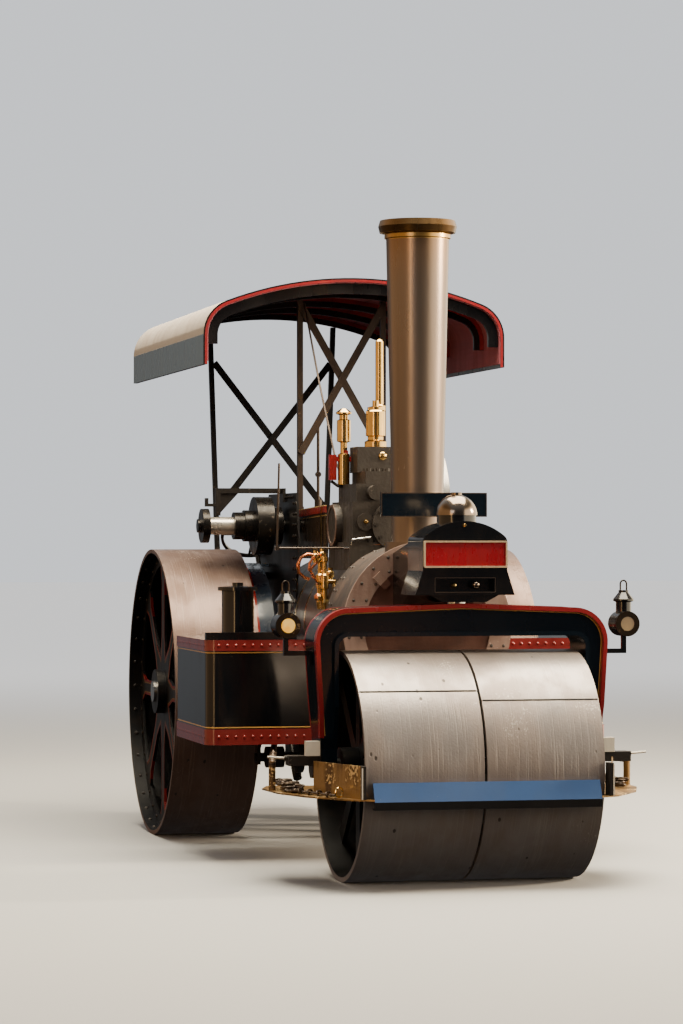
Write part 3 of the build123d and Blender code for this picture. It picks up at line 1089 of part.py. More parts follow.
def steering_column():
    """Sloping steering column with its worm, two clips on the hornplate and the hand wheel."""
    column = round_bar(on_column(-WORM_LONG / 2 - 10), on_column(COLUMN_LONG), COLUMN_R)
    column += round_bar(on_column(-WORM_LONG / 2), on_column(WORM_LONG / 2), WORM_R)
    for along in COLUMN_CLIPS:
        x, y, z = on_column(along)
        column += slab(x - COLUMN_R - 6, -HORN_FACE - SEAT, y - 22, y + 22, z - 22, z + 22)
    ring = round_bar(on_column(COLUMN_LONG - 26), on_column(COLUMN_LONG - 8), HANDWHEEL_R)
    ring -= round_bar(on_column(COLUMN_LONG - 27), on_column(COLUMN_LONG - 7), HANDWHEEL_R - HANDWHEEL_RIM)
    column += ring + round_bar(on_column(COLUMN_LONG - 40), on_column(COLUMN_LONG), 2 * COLUMN_R)
    reach = HANDWHEEL_R - HANDWHEEL_RIM / 2
    middle = COLUMN_LONG - 17
    column += round_bar(on_column(middle, -reach), on_column(middle, reach), 8)
    x, y, z = on_column(middle)
    return column + rod_x(8, x - reach, x + reach, y, z)


def boiler_fittings():
    """Two clack valves on the barrel's right side with the side cock and the copper feed pipe."""
    pieces = turned(CLACK, -CLACK_X, CLACK_Y, CLACK_LOW_Z) + turned(CLACK, -CLACK_X, CLACK_Y + 110, CLACK_LOW_Z)
    for y in (CLACK_Y, CLACK_Y + 110):
        pieces += rod_x(12, -CLACK_X, -CLACK_X + 60, y, CLACK_LOW_Z + 155)
    pieces += rod_y(10, CLACK_Y, CLACK_Y + 110, -CLACK_X, CLACK_LOW_Z + 85)
    pieces += turned(COCK, -COCK_X, CLACK_Y, COCK_Z) + rod_x(9, -COCK_X, -CLACK_X, CLACK_Y, COCK_Z + 22)
    points = [(-x, CLACK_Y, z) for x, z in FEED_PIPE]
    for start, end in zip(points, points[1:]):
        pieces += round_bar(start, end, PIPE_R)
    for x, y, z in points:
        pieces += rod_y(PIPE_R + 3, y - PIPE_R - 3, y + PIPE_R + 3, x, z)
    pieces += rod_z(PIPE_R, CLACK_LOW_Z + 280, FEED_PIPE[0][1], -CLACK_X, CLACK_Y)
    pieces += rod_z(PIPE_R, COCK_Z + 35, FEED_PIPE[-1][1], -COCK_X, CLACK_Y)
    return pieces - rod_y(BARREL_R + SEAT, CLACK_Y - 100, CLACK_Y + 300, 0, BOILER_Z)


def control_rods():
    """Rod from the cylinder block out to its upright end, and the upright lever over the firebox."""
    bend = (-ROD_X, ROD_Y, ROD_Z)
    rod = round_bar((-BLOCK_HALF - 20 - SEAT, ROD_Y, ROD_Z), bend, ROD_R)
    rod += round_bar(bend, (-ROD_X + 12, ROD_Y, ROD_TOP_Z), ROD_R)
    rod += rod_y(2 * ROD_R, ROD_Y - 2 * ROD_R, ROD_Y + 2 * ROD_R, -ROD_X, ROD_Z)
    lever = rod_z(22, BOILER_Z + FIREBOX_HALF - 60, LEVER_BASE_Z, -LEVER_X, LEVER_Y)
    lever += rod_z(9, LEVER_BASE_Z - 10, LEVER_TOP_Z, -LEVER_X, LEVER_Y)
    lever += rod_y(16, LEVER_Y - 16, LEVER_Y + 16, -LEVER_X, LEVER_BASE_Z + 150)
    lever -= rod_y(FIREBOX_HALF + SEAT, FIREBOX_FRONT_Y, FIREBOX_BACK_Y, 0, BOILER_Z)
    return [rod, lever]


def chain_post():
    """Post on the right tray that carries the pin of the steering chain."""
    half = LINK_WIRE / 2 + RUNNING
    post = rod_z(CHAIN_POST_R, TRAY_Z - 1, CHAIN_Z - half, -CHAIN_LUG_X, CHAIN_LUG_Y)
    post += rod_z(CHAIN_PIN_R, TRAY_Z, CHAIN_Z + half, -CHAIN_LUG_X, CHAIN_LUG_Y)
    return post + rod_z(2 * CHAIN_PIN_R, CHAIN_Z + half, CHAIN_Z + half + 8, -CHAIN_LUG_X, CHAIN_LUG_Y)


def chain_link():
    """Chain link lying flat along x, an oblong ring with cut corners."""
    outer = LINK_PITCH / 2 + LINK_WIRE - LINK_LAP / 2
    half = LINK_WIDE / 2
    cut = half * 0.55
    ring = []
    for reach, side, nip in ((outer, half, cut), (outer - LINK_WIRE, half - LINK_WIRE, cut / 2)):
        ring.append(outline([(-reach, -side + nip), (-reach, side - nip), (-reach + nip, side),
                             (reach - nip, side),
                             (reach, side - nip), (reach, -side + nip), (reach - nip, -side),
                             (-reach + nip, -side)]))
    return flat_plate(ring[0] - ring[1], -LINK_WIRE / 2, LINK_WIRE / 2)


def steering_chain():
    """Right steering chain, from its post on the tray back over the barrel."""
    run_x = CHAIN_LUG_X - DRUM_X
    run_y = DRUM_Y - CHAIN_LUG_Y
    run = hypot(run_x, run_y)
    total = run * (run_y + CHAIN_TAIL) / run_y
    link = chain_link()
    eye = flat_plate(Circle(CHAIN_POST_R), -LINK_WIRE / 2, LINK_WIRE / 2)
    links = [eye + slab(0, CHAIN_POST_R + 8, -LINK_WIRE / 2, LINK_WIRE / 2, -LINK_WIRE / 2, LINK_WIRE / 2)]
    first = CHAIN_POST_R + 2 + LINK_PITCH / 2 + LINK_WIRE
    for count in range(int((total - first) / LINK_PITCH)):
        links.append(Pos(first + count * LINK_PITCH, 0, 0) * Rot(90 * (count % 2 == 0), 0, 0) * link)
    chain = links[0].fuse(*links[1:])
    chain -= flat_plate(Circle(CHAIN_PIN_R + SEAT), -LINK_WIDE, LINK_WIDE)
    aim = Plane((-CHAIN_LUG_X, CHAIN_LUG_Y, CHAIN_Z), x_dir=(run_x, run_y, 0), z_dir=(0, 0, 1))
    return aim * chain


os.makedirs("parts", exist_ok=True)
keep("yoke", yoke())
keep("kingpin", kingpin())
keep("front_axle", front_axle())
keep("roll_right", front_roll())
keep("roll_left", other_side(front_roll()))
keep("perch_bracket", perch_bracket())
keep("name_plate", name_plate())
keep("kingpin_cap", kingpin_cap())
keep("smokebox", smokebox())
keep("chimney", chimney())
keep("number_board", number_board())
keep("boiler_barrel", boiler_barrel())
keep("firebox", firebox())
keep("firehole_hinge", firehole_hinge())
keep("firehole_door", firehole_door())
keep("hornplates", *hornplates())
keep("crank_bearings", *crank_bearings())
keep("crankshaft", crankshaft())
keep("crank_bracket", crank_bracket())
keep("flywheel", flywheel())
keep("connecting_rod", connecting_rod())
keep("crosshead", crosshead())
keep("slide_bars", *slide_bars())
keep("cylinder_block", cylinder_block())
keep("brass_fittings", *brass_fittings())
keep("motion_sheets", *motion_sheets())
keep("belly_tank", belly_tank())
keep("tank_saddles", *tank_saddles())
keep("tank_canister", tank_canister())
keep("gear_guard", gear_guard())
keep("final_gear", final_gear())
keep("rear_axle", rear_axle())
keep("wheel_right", rear_wheel())
keep("wheel_left", other_side(rear_wheel()))
keep("tender", tender())
keep("footplate", footplate())
keep("drawbar", drawbar())
keep("canopy_roof", canopy_roof())
keep("canopy_front_frame", *front_frame())
keep("canopy_rear_frame", *rear_frame())
keep("scraper_bar", scraper_bar())
keep("chain_trays", tray() + chain_post(), other_side(tray() + chain_post()))
keep("tray_packings", foot_block(), other_side(foot_block()))
keep("lamps", lamp(-1), lamp(1))
keep("lamp_lenses", lamp_lens(-1), lamp_lens(1))
keep("steering_barrel", steering_barrel())
keep("barrel_hangers", *barrel_hangers())
keep("steering_column", steering_column())
keep("boiler_fittings", boiler_fittings())
keep("control_rods", *control_rods())
keep("steering_chain_right", steering_chain())
keep("steering_chain_left", other_side(steering_chain()))
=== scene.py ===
"""Dresses the steam road roller: paint and lining, bare metal, rivets, bolts, boards, lamps and soft light.

Sizes of shapes are millimetres from the kingpin on the ground, as the roller's drawing gives them: x to the
driver's left, y to the rear, z up. They become metres in the model's own frame when a mesh is made. Sizes in
a finish are metres already, because a material reads the coordinates of its piece.
"""

import json
import logging
import math
from dataclasses import dataclass, replace
from enum import Enum
from functools import cache
from random import Random
from typing import Any, Callable, Sequence

import bmesh
import bpy
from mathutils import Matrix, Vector

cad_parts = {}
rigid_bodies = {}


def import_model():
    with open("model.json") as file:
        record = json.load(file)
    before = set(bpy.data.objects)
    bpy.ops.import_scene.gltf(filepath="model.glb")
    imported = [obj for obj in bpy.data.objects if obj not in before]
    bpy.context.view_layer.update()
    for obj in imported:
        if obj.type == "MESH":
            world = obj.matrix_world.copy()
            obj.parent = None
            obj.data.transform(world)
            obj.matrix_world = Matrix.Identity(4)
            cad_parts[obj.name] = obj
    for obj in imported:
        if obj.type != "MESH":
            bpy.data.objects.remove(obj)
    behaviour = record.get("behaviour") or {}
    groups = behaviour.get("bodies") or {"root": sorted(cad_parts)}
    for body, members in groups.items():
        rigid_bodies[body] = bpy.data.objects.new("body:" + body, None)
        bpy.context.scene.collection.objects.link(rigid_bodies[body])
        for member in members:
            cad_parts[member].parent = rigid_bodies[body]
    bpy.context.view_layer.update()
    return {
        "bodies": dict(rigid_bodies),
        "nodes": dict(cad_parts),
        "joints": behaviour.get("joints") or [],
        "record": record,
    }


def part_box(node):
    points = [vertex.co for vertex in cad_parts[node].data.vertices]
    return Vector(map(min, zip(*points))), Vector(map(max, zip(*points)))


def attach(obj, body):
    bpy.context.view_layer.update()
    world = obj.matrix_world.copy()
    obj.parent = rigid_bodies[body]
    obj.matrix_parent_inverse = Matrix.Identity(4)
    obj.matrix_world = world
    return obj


log = logging.getLogger("roller")

Point = tuple[float, float, float]
Flat = tuple[float, float]
Color = tuple[float, float, float]
Socket = bpy.types.NodeSocket
MM = 0.001


class Axis(Enum):
    """Direction in which a flat drawing is made thick or a round piece stands."""

    X = 0
    Y = 1
    Z = 2


class Shape(Enum):
    """Small shape that a row or a set of spots repeats."""

    DOME = "dome"
    HEX = "hex"


class Nodes:
    """Node tree with a short way to add nodes and their links."""

    def __init__(self, tree: bpy.types.NodeTree) -> None:
        """Takes a tree and empties it."""
        self.tree = tree
        tree.nodes.clear()

    def node(self, kind: str, values: dict[Any, Any] | None = None, **properties: Any) -> bpy.types.Node:
        """Adds a node.

        Args:
            kind: Blender's name for the node type.
            values: Values or source sockets for inputs, by input name or number.
            **properties: Settings of the node itself.

        Returns:
            The new node.
        """
        made = self.tree.nodes.new(kind)
        for name, value in properties.items():
            setattr(made, name, value)
        for name, value in (values or {}).items():
            self.put(made.inputs[name], value)
        return made

    def put(self, socket: Socket, value: Any) -> None:
        """Links a socket to a source socket, or sets its value.

        Args:
            socket: The input.
            value: A source socket, a number or a colour.
        """
        if isinstance(value, Socket):
            self.tree.links.new(value, socket)
        elif isinstance(value, tuple) and socket.type == "RGBA":
            socket.default_value = (*value, 1.0)
        else:
            socket.default_value = value


class Shader(Nodes):
    """Node tree of one material, one shader group or the world."""

    def math(self, operation: str, *values: Any) -> Socket:
        """Returns the result of a maths node on numbers or source sockets."""
        return self.node("ShaderNodeMath", dict(enumerate(values)), operation=operation).outputs[0]

    def times(self, first: Any, second: Any) -> Socket:
        """Returns the product of two values."""
        return self.math("MULTIPLY", first, second)

    def plus(self, first: Any, second: Any) -> Socket:
        """Returns the sum of two values."""
        return self.math("ADD", first, second)

    def minus(self, first: Any, second: Any) -> Socket:
        """Returns the first value less the second."""
        return self.math("SUBTRACT", first, second)

    def size(self, value: Any) -> Socket:
        """Returns a value without its sign."""
        return self.math("ABSOLUTE", value)

    def coordinates(self, kind: str = "Object") -> Socket:
        """Returns coordinates of the kind that Blender calls so."""
        return self.node("ShaderNodeTexCoord").outputs[kind]

    def parts(self, vector: Socket) -> Any:
        """Returns the three parts of a vector, by name or number."""
        return self.node("ShaderNodeSeparateXYZ", {"Vector": vector}).outputs

    def slope(self, value: Any, low: float, high: float, **properties: Any) -> Socket:
        """Returns a straight rise from 0 where the value is low to 1 where it is high."""
        values = {"Value": value, "From Min": low, "From Max": high}
        return self.node("ShaderNodeMapRange", values, **properties).outputs["Result"]

    def ramp(self, value: Any, low: float, high: float) -> Socket:
        """Returns a soft mask from 0 where the value is low to 1 where it is high."""
        return self.slope(value, low, high, interpolation_type="SMOOTHSTEP")

    def within(self, value: Any, low: float, high: float) -> Socket:
        """Returns 1 where a value is between two limits, 0 elsewhere."""
        return self.times(self.math("GREATER_THAN", value, low), self.math("LESS_THAN", value, high))

    def reach(self, across: Any, up: Any) -> Socket:
        """Returns the distance from an axis, of the distances along two others."""
        return self.math("SQRT", self.plus(self.times(across, across), self.times(up, up)))

    def blend(self, mask: Any, first: Any, second: Any) -> Socket:
        """Returns the first colour where the mask is 0 and the second where it is 1."""
        return self.node("ShaderNodeMix", {0: mask, 6: first, 7: second}, data_type="RGBA").outputs[2]

    def noise(self, vector: Any, scale: Any, detail: float = 4.0) -> Socket:
        """Returns a noise of 0 to 1 with some octaves of detail."""
        return self.node("ShaderNodeTexNoise", {"Vector": vector, "Scale": scale, "Detail": detail}).outputs[0]

    def stretched(self, vector: Any, scale: Point) -> Socket:
        """Returns coordinates times a factor along each axis."""
        return self.node("ShaderNodeMapping", {"Vector": vector, "Scale": Vector(scale)}).outputs[0]


class Skin(Shader):
    """Tree of one material, with the colour, roughness and height that the layers of a finish change."""

    def __init__(self, tree: bpy.types.NodeTree) -> None:
        """Takes a tree, empties it and reads the piece's coordinates.

        Args:
            tree: The tree that gets the nodes.
        """
        super().__init__(tree)
        self.place = self.coordinates()
        self.color: Any = None
        self.rough: Any = None
        self.height: Any = None

    def cover(self, mask: Any, color: Any, share: float = 1.0) -> None:
        """Lays a colour over the one below where the mask is 1, or a share of it."""
        self.color = self.blend(mask if share == 1.0 else self.times(mask, share), self.color, color)

    def streaks(self, scale: Point, detail: float = 4.0) -> Socket:
        """Returns noise that is stretched along the piece's axes."""
        return self.noise(self.stretched(self.place, scale), 1.0, detail)

    def patches(self, scale: float, low: float, high: float, detail: float = 4.0) -> Socket:
        """Returns a mask of soft patches, from noise between two limits."""
        return self.ramp(self.noise(self.place, scale, detail), low, high)

    def stained(self, mask: Any, color: Color, stain: Color) -> Socket:
        """Returns a colour that is half stained where the mask is 1."""
        return self.blend(self.times(mask, 0.5), color, stain)


def dimmed(color: Color, share: float) -> Color:
    """Returns a share of a colour."""
    return color[0] * share, color[1] * share, color[2] * share


def surfaced(label: str, shade: Callable[[Skin], dict[str, Any]]) -> bpy.types.Material:
    """Makes a material of one principled shader.

    Args:
        label: Name of the material.
        shade: Builds what the shader's inputs get.

    Returns:
        The material, built on its first use.
    """
    if label in bpy.data.materials:
        return bpy.data.materials[label]
    made = bpy.data.materials.new(label)
    made.use_nodes = True
    sh = Skin(made.node_tree)
    main = sh.node("ShaderNodeBsdfPrincipled", shade(sh))
    sh.node("ShaderNodeOutputMaterial", {"Surface": main.outputs[0]})
    return made


@dataclass(frozen=True)
class Weathering:
    """Shader group for wear, dirt and dust that many finishes share."""

    name: str = "weathering"
    patch_share: float = 0.55
    grain_share: float = 0.45
    clean_edge: float = 0.64
    wear_reach: float = 0.16
    wear_blur: float = 0.04
    wear_depth: float = 0.6
    streak: Point = (3.0, 3.0, 0.5)
    dirt_mask: Flat = (0.42, 0.62)
    dust_slope: Flat = (0.35, 1.0)
    dust_grain: Flat = (0.3, 0.7)

    def group(self) -> bpy.types.NodeTree:
        """Returns the group, built on its first use."""
        if self.name in bpy.data.node_groups:
            return bpy.data.node_groups[self.name]
        tree = bpy.data.node_groups.new(self.name, "ShaderNodeTree")
        tree.interface.new_socket("Vector", in_out="INPUT", socket_type="NodeSocketVector")
        for way, labels in (("INPUT", ("Patch Scale", "Grain Scale", "Wear", "Dirt", "Dust")),
                            ("OUTPUT", ("Wear", "Dirt", "Dust", "Tint", "Height"))):
            for label in labels:
                tree.interface.new_socket(label, in_out=way, socket_type="NodeSocketFloat")
        sh = Shader(tree)
        given = sh.node("NodeGroupInput").outputs
        patches = sh.noise(given["Vector"], given["Patch Scale"], 5.0)
        grain = sh.noise(given["Vector"], given["Grain Scale"], 6.0)
        mixed = sh.plus(sh.times(patches, self.patch_share), sh.times(grain, self.grain_share))
        edge = sh.minus(self.clean_edge, sh.times(given["Wear"], self.wear_reach))
        wear = sh.ramp(sh.minus(mixed, edge), 0.0, self.wear_blur)
        streak = sh.noise(sh.stretched(given["Vector"], self.streak), given["Patch Scale"], 3.0)
        dirt = sh.times(sh.ramp(sh.times(sh.plus(patches, streak), 0.5), *self.dirt_mask), given["Dirt"])
        up = sh.parts(sh.coordinates("Normal"))["Z"]
        dust = sh.times(sh.ramp(up, *self.dust_slope), sh.ramp(grain, *self.dust_grain))
        dust = sh.times(dust, given["Dust"])
        height = sh.minus(grain, sh.times(wear, self.wear_depth))
        sh.node("NodeGroupOutput", {"Wear": wear, "Dirt": dirt, "Dust": dust, "Tint": patches, "Height": height})
        return tree


@dataclass(frozen=True)
class Finish:
    """Paint or metal with its wear, dirt and dust."""

    name: str
    color: Color
    worn: Color = (0.25, 0.22, 0.2)
    dirty: Color = (0.05, 0.035, 0.025)
    dusty: Color = (0.32, 0.27, 0.22)
    metallic: float = 0.0
    roughness: float = 0.35
    coat: float = 0.0
    specular: float = 0.5
    patch: float = 2.5
    grain: float = 60.0
    wear: float = 0.1
    dirt: float = 0.4
    dust: float = 0.0
    bump: float = 0.15
    bump_height: float = 0.004
    coat_roughness: float = 0.08
    tint_share: float = 0.82
    stretch: Point = (1.0, 1.0, 1.0)
    slot: str = "dark_iron"

    def surface(self, sh: Skin) -> None:
        """Lays the colour, roughness and height.

        Args:
            sh: The material's tree.
        """
        values = {"Vector": sh.stretched(sh.place, self.stretch), "Patch Scale": self.patch,
                  "Grain Scale": self.grain, "Wear": self.wear, "Dirt": self.dirt, "Dust": self.dust}
        out = sh.node("ShaderNodeGroup", values, node_tree=Weathering().group()).outputs
        sh.color = sh.blend(sh.ramp(out["Tint"], 0.3, 0.7), dimmed(self.color, self.tint_share), self.color)
        for label, color in (("Dirt", self.dirty), ("Wear", self.worn), ("Dust", self.dusty)):
            sh.cover(out[label], color)
        rough = sh.plus(self.roughness, sh.times(out["Dirt"], 0.25))
        sh.rough = sh.plus(rough, sh.times(out["Dust"], 0.3))
        sh.height = out["Height"]

    def shade(self, sh: Skin) -> dict[str, Any]:
        """Builds the finish.

        Args:
            sh: The material's tree.

        Returns:
            What the shader's inputs get.
        """
        self.surface(sh)
        bump = sh.node("ShaderNodeBump", {"Strength": self.bump, "Distance": self.bump_height, "Height": sh.height})
        return {"Base Color": sh.color, "Roughness": sh.rough, "Metallic": self.metallic, "Coat Weight": self.coat,
                "Coat Roughness": self.coat_roughness, "Specular IOR Level": self.specular, "Normal": bump.outputs[0]}

    def material(self) -> bpy.types.Material:
        """Returns the material, built on its first use."""
        return surfaced(f"{self.name}_finish", self.shade)


@dataclass(frozen=True)
class RollFinish(Finish):
    """Bare rolled steel with fine scratches round the roll and a few dark nicks."""

    bright: Color = (0.62, 0.57, 0.52)
    nick: Color = (0.05, 0.04, 0.035)
    nick_depth: float = 3.0
    scratches: Point = (110.0, 2.5, 2.5)
    clouds: Point = (3.5, 1.2, 1.2)
    nick_cells: Point = (9.0, 6.0, 6.0)

    def surface(self, sh: Skin) -> None:
        """Adds scratches and nicks to the plain surface.

        Args:
            sh: The material's tree.
        """
        super().surface(sh)
        scratch = sh.ramp(sh.streaks(self.scratches), 0.5, 0.72)
        cloud = sh.ramp(sh.streaks(self.clouds, 5.0), 0.38, 0.66)
        cells = sh.node("ShaderNodeTexVoronoi", {"Vector": sh.stretched(sh.place, self.nick_cells), "Scale": 1.0})
        nicks = sh.ramp(cells.outputs["Distance"], 0.09, 0.05)
        sh.cover(cloud, self.dirty, 0.45)
        sh.cover(scratch, self.bright, 0.12)
        sh.cover(nicks, self.nick, 0.85)
        sh.height = sh.minus(sh.minus(sh.height, scratch), sh.times(nicks, self.nick_depth))


@dataclass(frozen=True)
class StackFinish(Finish):
    """Chimney iron: browned by heat at the top, streaked down its length, bronzed lip and neck."""

    hot: Color = (0.3, 0.17, 0.08)
    bronze: Color = (0.42, 0.25, 0.08)
    lip: Color = (0.13, 0.075, 0.03)
    top: float = 3.47
    neck: float = 0.105
    lip_depth: float = 0.066

    def surface(self, sh: Skin) -> None:
        """Adds the heat tint, the streaks and the bronzed rings.

        Args:
            sh: The material's tree.
        """
        super().surface(sh)
        high = sh.parts(sh.place)["Z"]
        streak = sh.times(sh.streaks((14.0, 14.0, 0.9)), 0.5)
        tint = sh.plus(sh.ramp(high, self.top - 0.5, self.top + 0.1), streak)
        sh.cover(sh.ramp(tint, 0.25, 1.2), self.hot, 0.6)
        sh.cover(sh.within(high, self.top - self.neck, self.top - self.lip_depth), self.bronze)
        sh.cover(sh.ramp(high, self.top - 0.067, self.top - 0.065), self.lip)


@dataclass(frozen=True)
class BoardFinish(Finish):
    """Painted or bare boards with seams between them."""

    board: float = 0.11
    seam: Color = (0.02, 0.012, 0.01)
    seam_depth: float = 3.0

    def surface(self, sh: Skin) -> None:
        """Adds the seams and a tone for each board.

        Args:
            sh: The material's tree.
        """
        super().surface(sh)
        count = sh.math("DIVIDE", sh.parts(sh.place)["X"], self.board)
        seam = sh.ramp(sh.size(sh.minus(sh.math("FRACT", count), 0.5)), 0.465, 0.49)
        tone = sh.node("ShaderNodeTexWhiteNoise", {"W": sh.math("FLOOR", count)}, noise_dimensions="1D").outputs[0]
        grain = sh.streaks((60.0, 2.5, 60.0))
        sh.cover(sh.times(tone, grain), self.dirty, 0.7)
        sh.cover(seam, self.seam)
        sh.height = sh.minus(sh.times(grain, 0.6), sh.times(seam, self.seam_depth))


@dataclass(frozen=True)
class ChequerFinish(Finish):
    """Floor plate with a raised diamond pattern."""

    step: float = 0.03

    def surface(self, sh: Skin) -> None:
        """Adds the raised pattern.

        Args:
            sh: The material's tree.
        """
        super().surface(sh)
        turned = sh.node("ShaderNodeMapping", {"Vector": sh.place, "Rotation": Vector((0, 0, math.pi / 4))})
        values = {"Vector": turned.outputs[0], "Scale": 1 / self.step, "Randomness": 0.0}
        cells = sh.node("ShaderNodeTexVoronoi", values, distance="MANHATTAN")
        raised = sh.ramp(cells.outputs["Distance"], 0.36, 0.3)
        sh.cover(raised, self.worn, 0.4)
        sh.height = sh.plus(sh.height, raised)


@dataclass(frozen=True)
class WheelFinish(RollFinish):
    """Bare rim outside, black paint inside it."""

    inside: Color = (0.006, 0.006, 0.007)
    grime: Color = (0.025, 0.018, 0.013)
    centre: Flat = (0.0, 0.0)
    rim: float = 0.8
    soft: float = 0.001

    def lined(self, sh: Skin, along: Socket, up: Socket, black: Socket) -> Socket:
        """Returns the inside's colour as it is, for wheels with plain spokes."""
        return black

    def surface(self, sh: Skin) -> None:
        """Paints everything inside the rim black.

        Args:
            sh: The material's tree.
        """
        super().surface(sh)
        parts = sh.parts(sh.place)
        along, up = (sh.minus(parts[name], middle) for name, middle in zip("YZ", self.centre))
        tread = sh.ramp(sh.reach(along, up), self.rim - self.soft, self.rim + self.soft)
        black = self.lined(sh, along, up, sh.stained(sh.patches(7.0, 0.5, 0.7), self.inside, self.grime))
        sh.color = sh.blend(tread, black, sh.color)
        sh.height = sh.times(sh.height, tread)


@dataclass(frozen=True)
class LinedWheelFinish(WheelFinish):
    """Rear wheel with red and gold lines along both edges of each tapered spoke."""

    red: Color = (0.2, 0.01, 0.008)
    gold: Color = (0.4, 0.2, 0.05)
    spokes: int = 8
    outer: float = 0.84
    half: float = 0.048
    hub_flare: float = 0.062
    rim_flare: float = 0.054
    span: Flat = (0.15, 0.735)

    def lined(self, sh: Skin, along: Socket, up: Socket, black: Socket) -> Socket:
        """Draws the lines.

        Args:
            sh: The material's tree.
            along: Distance from the axle to the rear.
            up: Height above the axle.
            black: Socket of the colour below the lines.

        Returns:
            Socket of the colour with its lines.
        """
        reach = sh.reach(along, up)
        ring = sh.ramp(sh.size(sh.parts(sh.place)["X"]), self.outer + self.soft, self.outer - self.soft)
        turn = sh.math("DIVIDE", sh.math("ARCTAN2", along, up), math.tau / self.spokes)
        turn = sh.plus(sh.plus(turn, sh.times(ring, 0.5)), self.spokes + 0.5)
        fold = sh.times(sh.minus(sh.math("FRACT", turn), 0.5), math.tau / self.spokes)
        aside = sh.size(sh.times(reach, sh.math("SINE", fold)))
        out = sh.times(reach, sh.math("COSINE", fold))
        half = sh.plus(self.half, sh.times(sh.slope(out, 0.33, 0.105), self.hub_flare))
        half = sh.plus(half, sh.times(sh.slope(out, 0.656, 0.762), self.rim_flare))
        inset = sh.minus(half, aside)
        here = sh.within(out, *self.span)
        for low, high, color in ((0.003, 0.015, self.red), (0.018, 0.022, self.gold)):
            black = sh.blend(sh.times(sh.within(inset, low, high), here), black, color)
        return black


@dataclass(frozen=True)
class DoorFinish(Finish):
    """Heat-bleached front ring with a redder plate inside it and a dark shell behind."""

    plate: Color = (0.1, 0.034, 0.02)
    shell: Color = (0.035, 0.026, 0.022)
    rust: Color = (0.09, 0.055, 0.04)
    centre: float = 1.28
    ring: float = 0.345
    front: float = 0.0

    def surface(self, sh: Skin) -> None:
        """Paints the plate inside the ring and the shell behind it.

        Args:
            sh: The material's tree.
        """
        super().surface(sh)
        parts = sh.parts(sh.place)
        reach = sh.reach(parts["X"], sh.minus(parts["Z"], self.centre))
        mask = sh.minus(1.0, sh.ramp(reach, self.ring - 0.002, self.ring + 0.002))
        sh.cover(mask, sh.blend(sh.noise(sh.place, 9.0, 5.0), self.plate, dimmed(self.plate, 0.45)))
        shell = sh.blend(sh.patches(6.0, 0.4, 0.7, 5.0), self.shell, self.rust)
        sh.cover(sh.ramp(parts["Y"], self.front + 0.02, self.front + 0.024), shell)


@dataclass(frozen=True)
class RoofFinish(BoardFinish):
    """Cream boards on top, sides painted blue-grey as a reflection of the sky on their dark gloss, crimson boards below
    and black bows.
    """

    # Blue-grey of the sides that face outwards: a painted reflection of the sky on dark glossy paint.
    side: Color = (0.15, 0.2, 0.25)
    below: Color = (0.17, 0.045, 0.06)
    bow: Color = (0.006, 0.005, 0.006)
    shine: float = 0.22

    def surface(self, sh: Skin) -> None:
        """Paints by the way each face looks.

        Args:
            sh: The material's tree.
        """
        super().surface(sh)
        parts = sh.parts(sh.coordinates("Normal"))
        top = sh.ramp(parts["Z"], 0.03, 0.06)
        out, end = (sh.ramp(sh.size(parts[name]), 0.75, 0.8) for name in "XY")
        # Faces that look out sideways get the painted sky reflection, faces that look forward or back get the black of
        # the bows, and the rest get the crimson boards.
        lower = sh.blend(end, sh.blend(out, self.below, self.side), self.bow)
        sh.color = sh.blend(top, lower, sh.color)
        sh.rough = sh.minus(sh.rough, sh.times(sh.minus(1.0, top), self.shine))
        sh.height = sh.times(sh.height, top)


@dataclass(frozen=True)
class TankFinish(Finish):
    """Black tank sheet between riveted red strips with gold lines beside them."""

    red: Color = (0.22, 0.024, 0.022)
    stain: Color = (0.12, 0.006, 0.006)
    # Lighter red on the side rivet domes: a painted highlight.
    dome: Color = (0.5, 0.1, 0.09)
    gold: Color = (0.75, 0.4, 0.1)
    low: float = 0.643
    high: float = 1.209
    low_strip: float = 0.085
    high_strip: float = 0.06
    rivets: Flat = (0.687, 1.179)
    step: float = 0.046

    def surface(self, sh: Skin) -> None:
        """Paints strips and lines by height, raises rivets along the sides and gives them a painted highlight.

        Args:
            sh: The material's tree.
        """
        super().surface(sh)
        parts = sh.parts(sh.place)
        up = parts["Z"]
        low, high = self.low + self.low_strip, self.high - self.high_strip
        strips = sh.plus(sh.within(up, self.low - 0.01, low), sh.within(up, high, self.high - 0.0005))
        lines = sh.plus(sh.within(up, low + 0.006, low + 0.012), sh.within(up, high - 0.012, high - 0.006))
        cell = sh.times(sh.minus(sh.math("FRACT", sh.math("DIVIDE", parts["Y"], self.step)), 0.5), self.step)
        domes: Any = 0.0
        for level in self.rivets:
            domes = sh.plus(domes, sh.ramp(sh.reach(cell, sh.minus(up, level)), 0.01, 0.001))
        side = sh.size(sh.parts(sh.coordinates("Normal"))["X"])
        domes = sh.times(domes, sh.ramp(side, 0.9, 0.95))
        red = sh.stained(sh.patches(14.0, 0.45, 0.75), self.red, self.stain)
        # Rivet domes on the sides take a share of the lighter red, a painted highlight over the strip's red.
        sh.cover(strips, sh.blend(sh.times(domes, 0.35), red, self.dome))
        sh.cover(lines, self.gold)
        sh.height = sh.plus(sh.times(sh.height, 0.04), sh.times(domes, 1.5))


@dataclass(frozen=True)
class SplitFinish(Finish):
    """Two finishes that meet at one place along an axis, as where a lower or outer part is painted otherwise."""

    other: Color = (0.006, 0.006, 0.007)
    axis: Axis = Axis.Z
    low: float = 0.0
    high: float = 1.0

    def surface(self, sh: Skin) -> None:
        """Gives the second colour between the two places.

        Args:
            sh: The material's tree.
        """
        super().surface(sh)
        second = sh.stained(sh.patches(18.0, 0.45, 0.75), self.other, dimmed(self.other, 0.55))
        sh.cover(sh.within(sh.parts(sh.place)[self.axis.value], self.low, self.high), second)


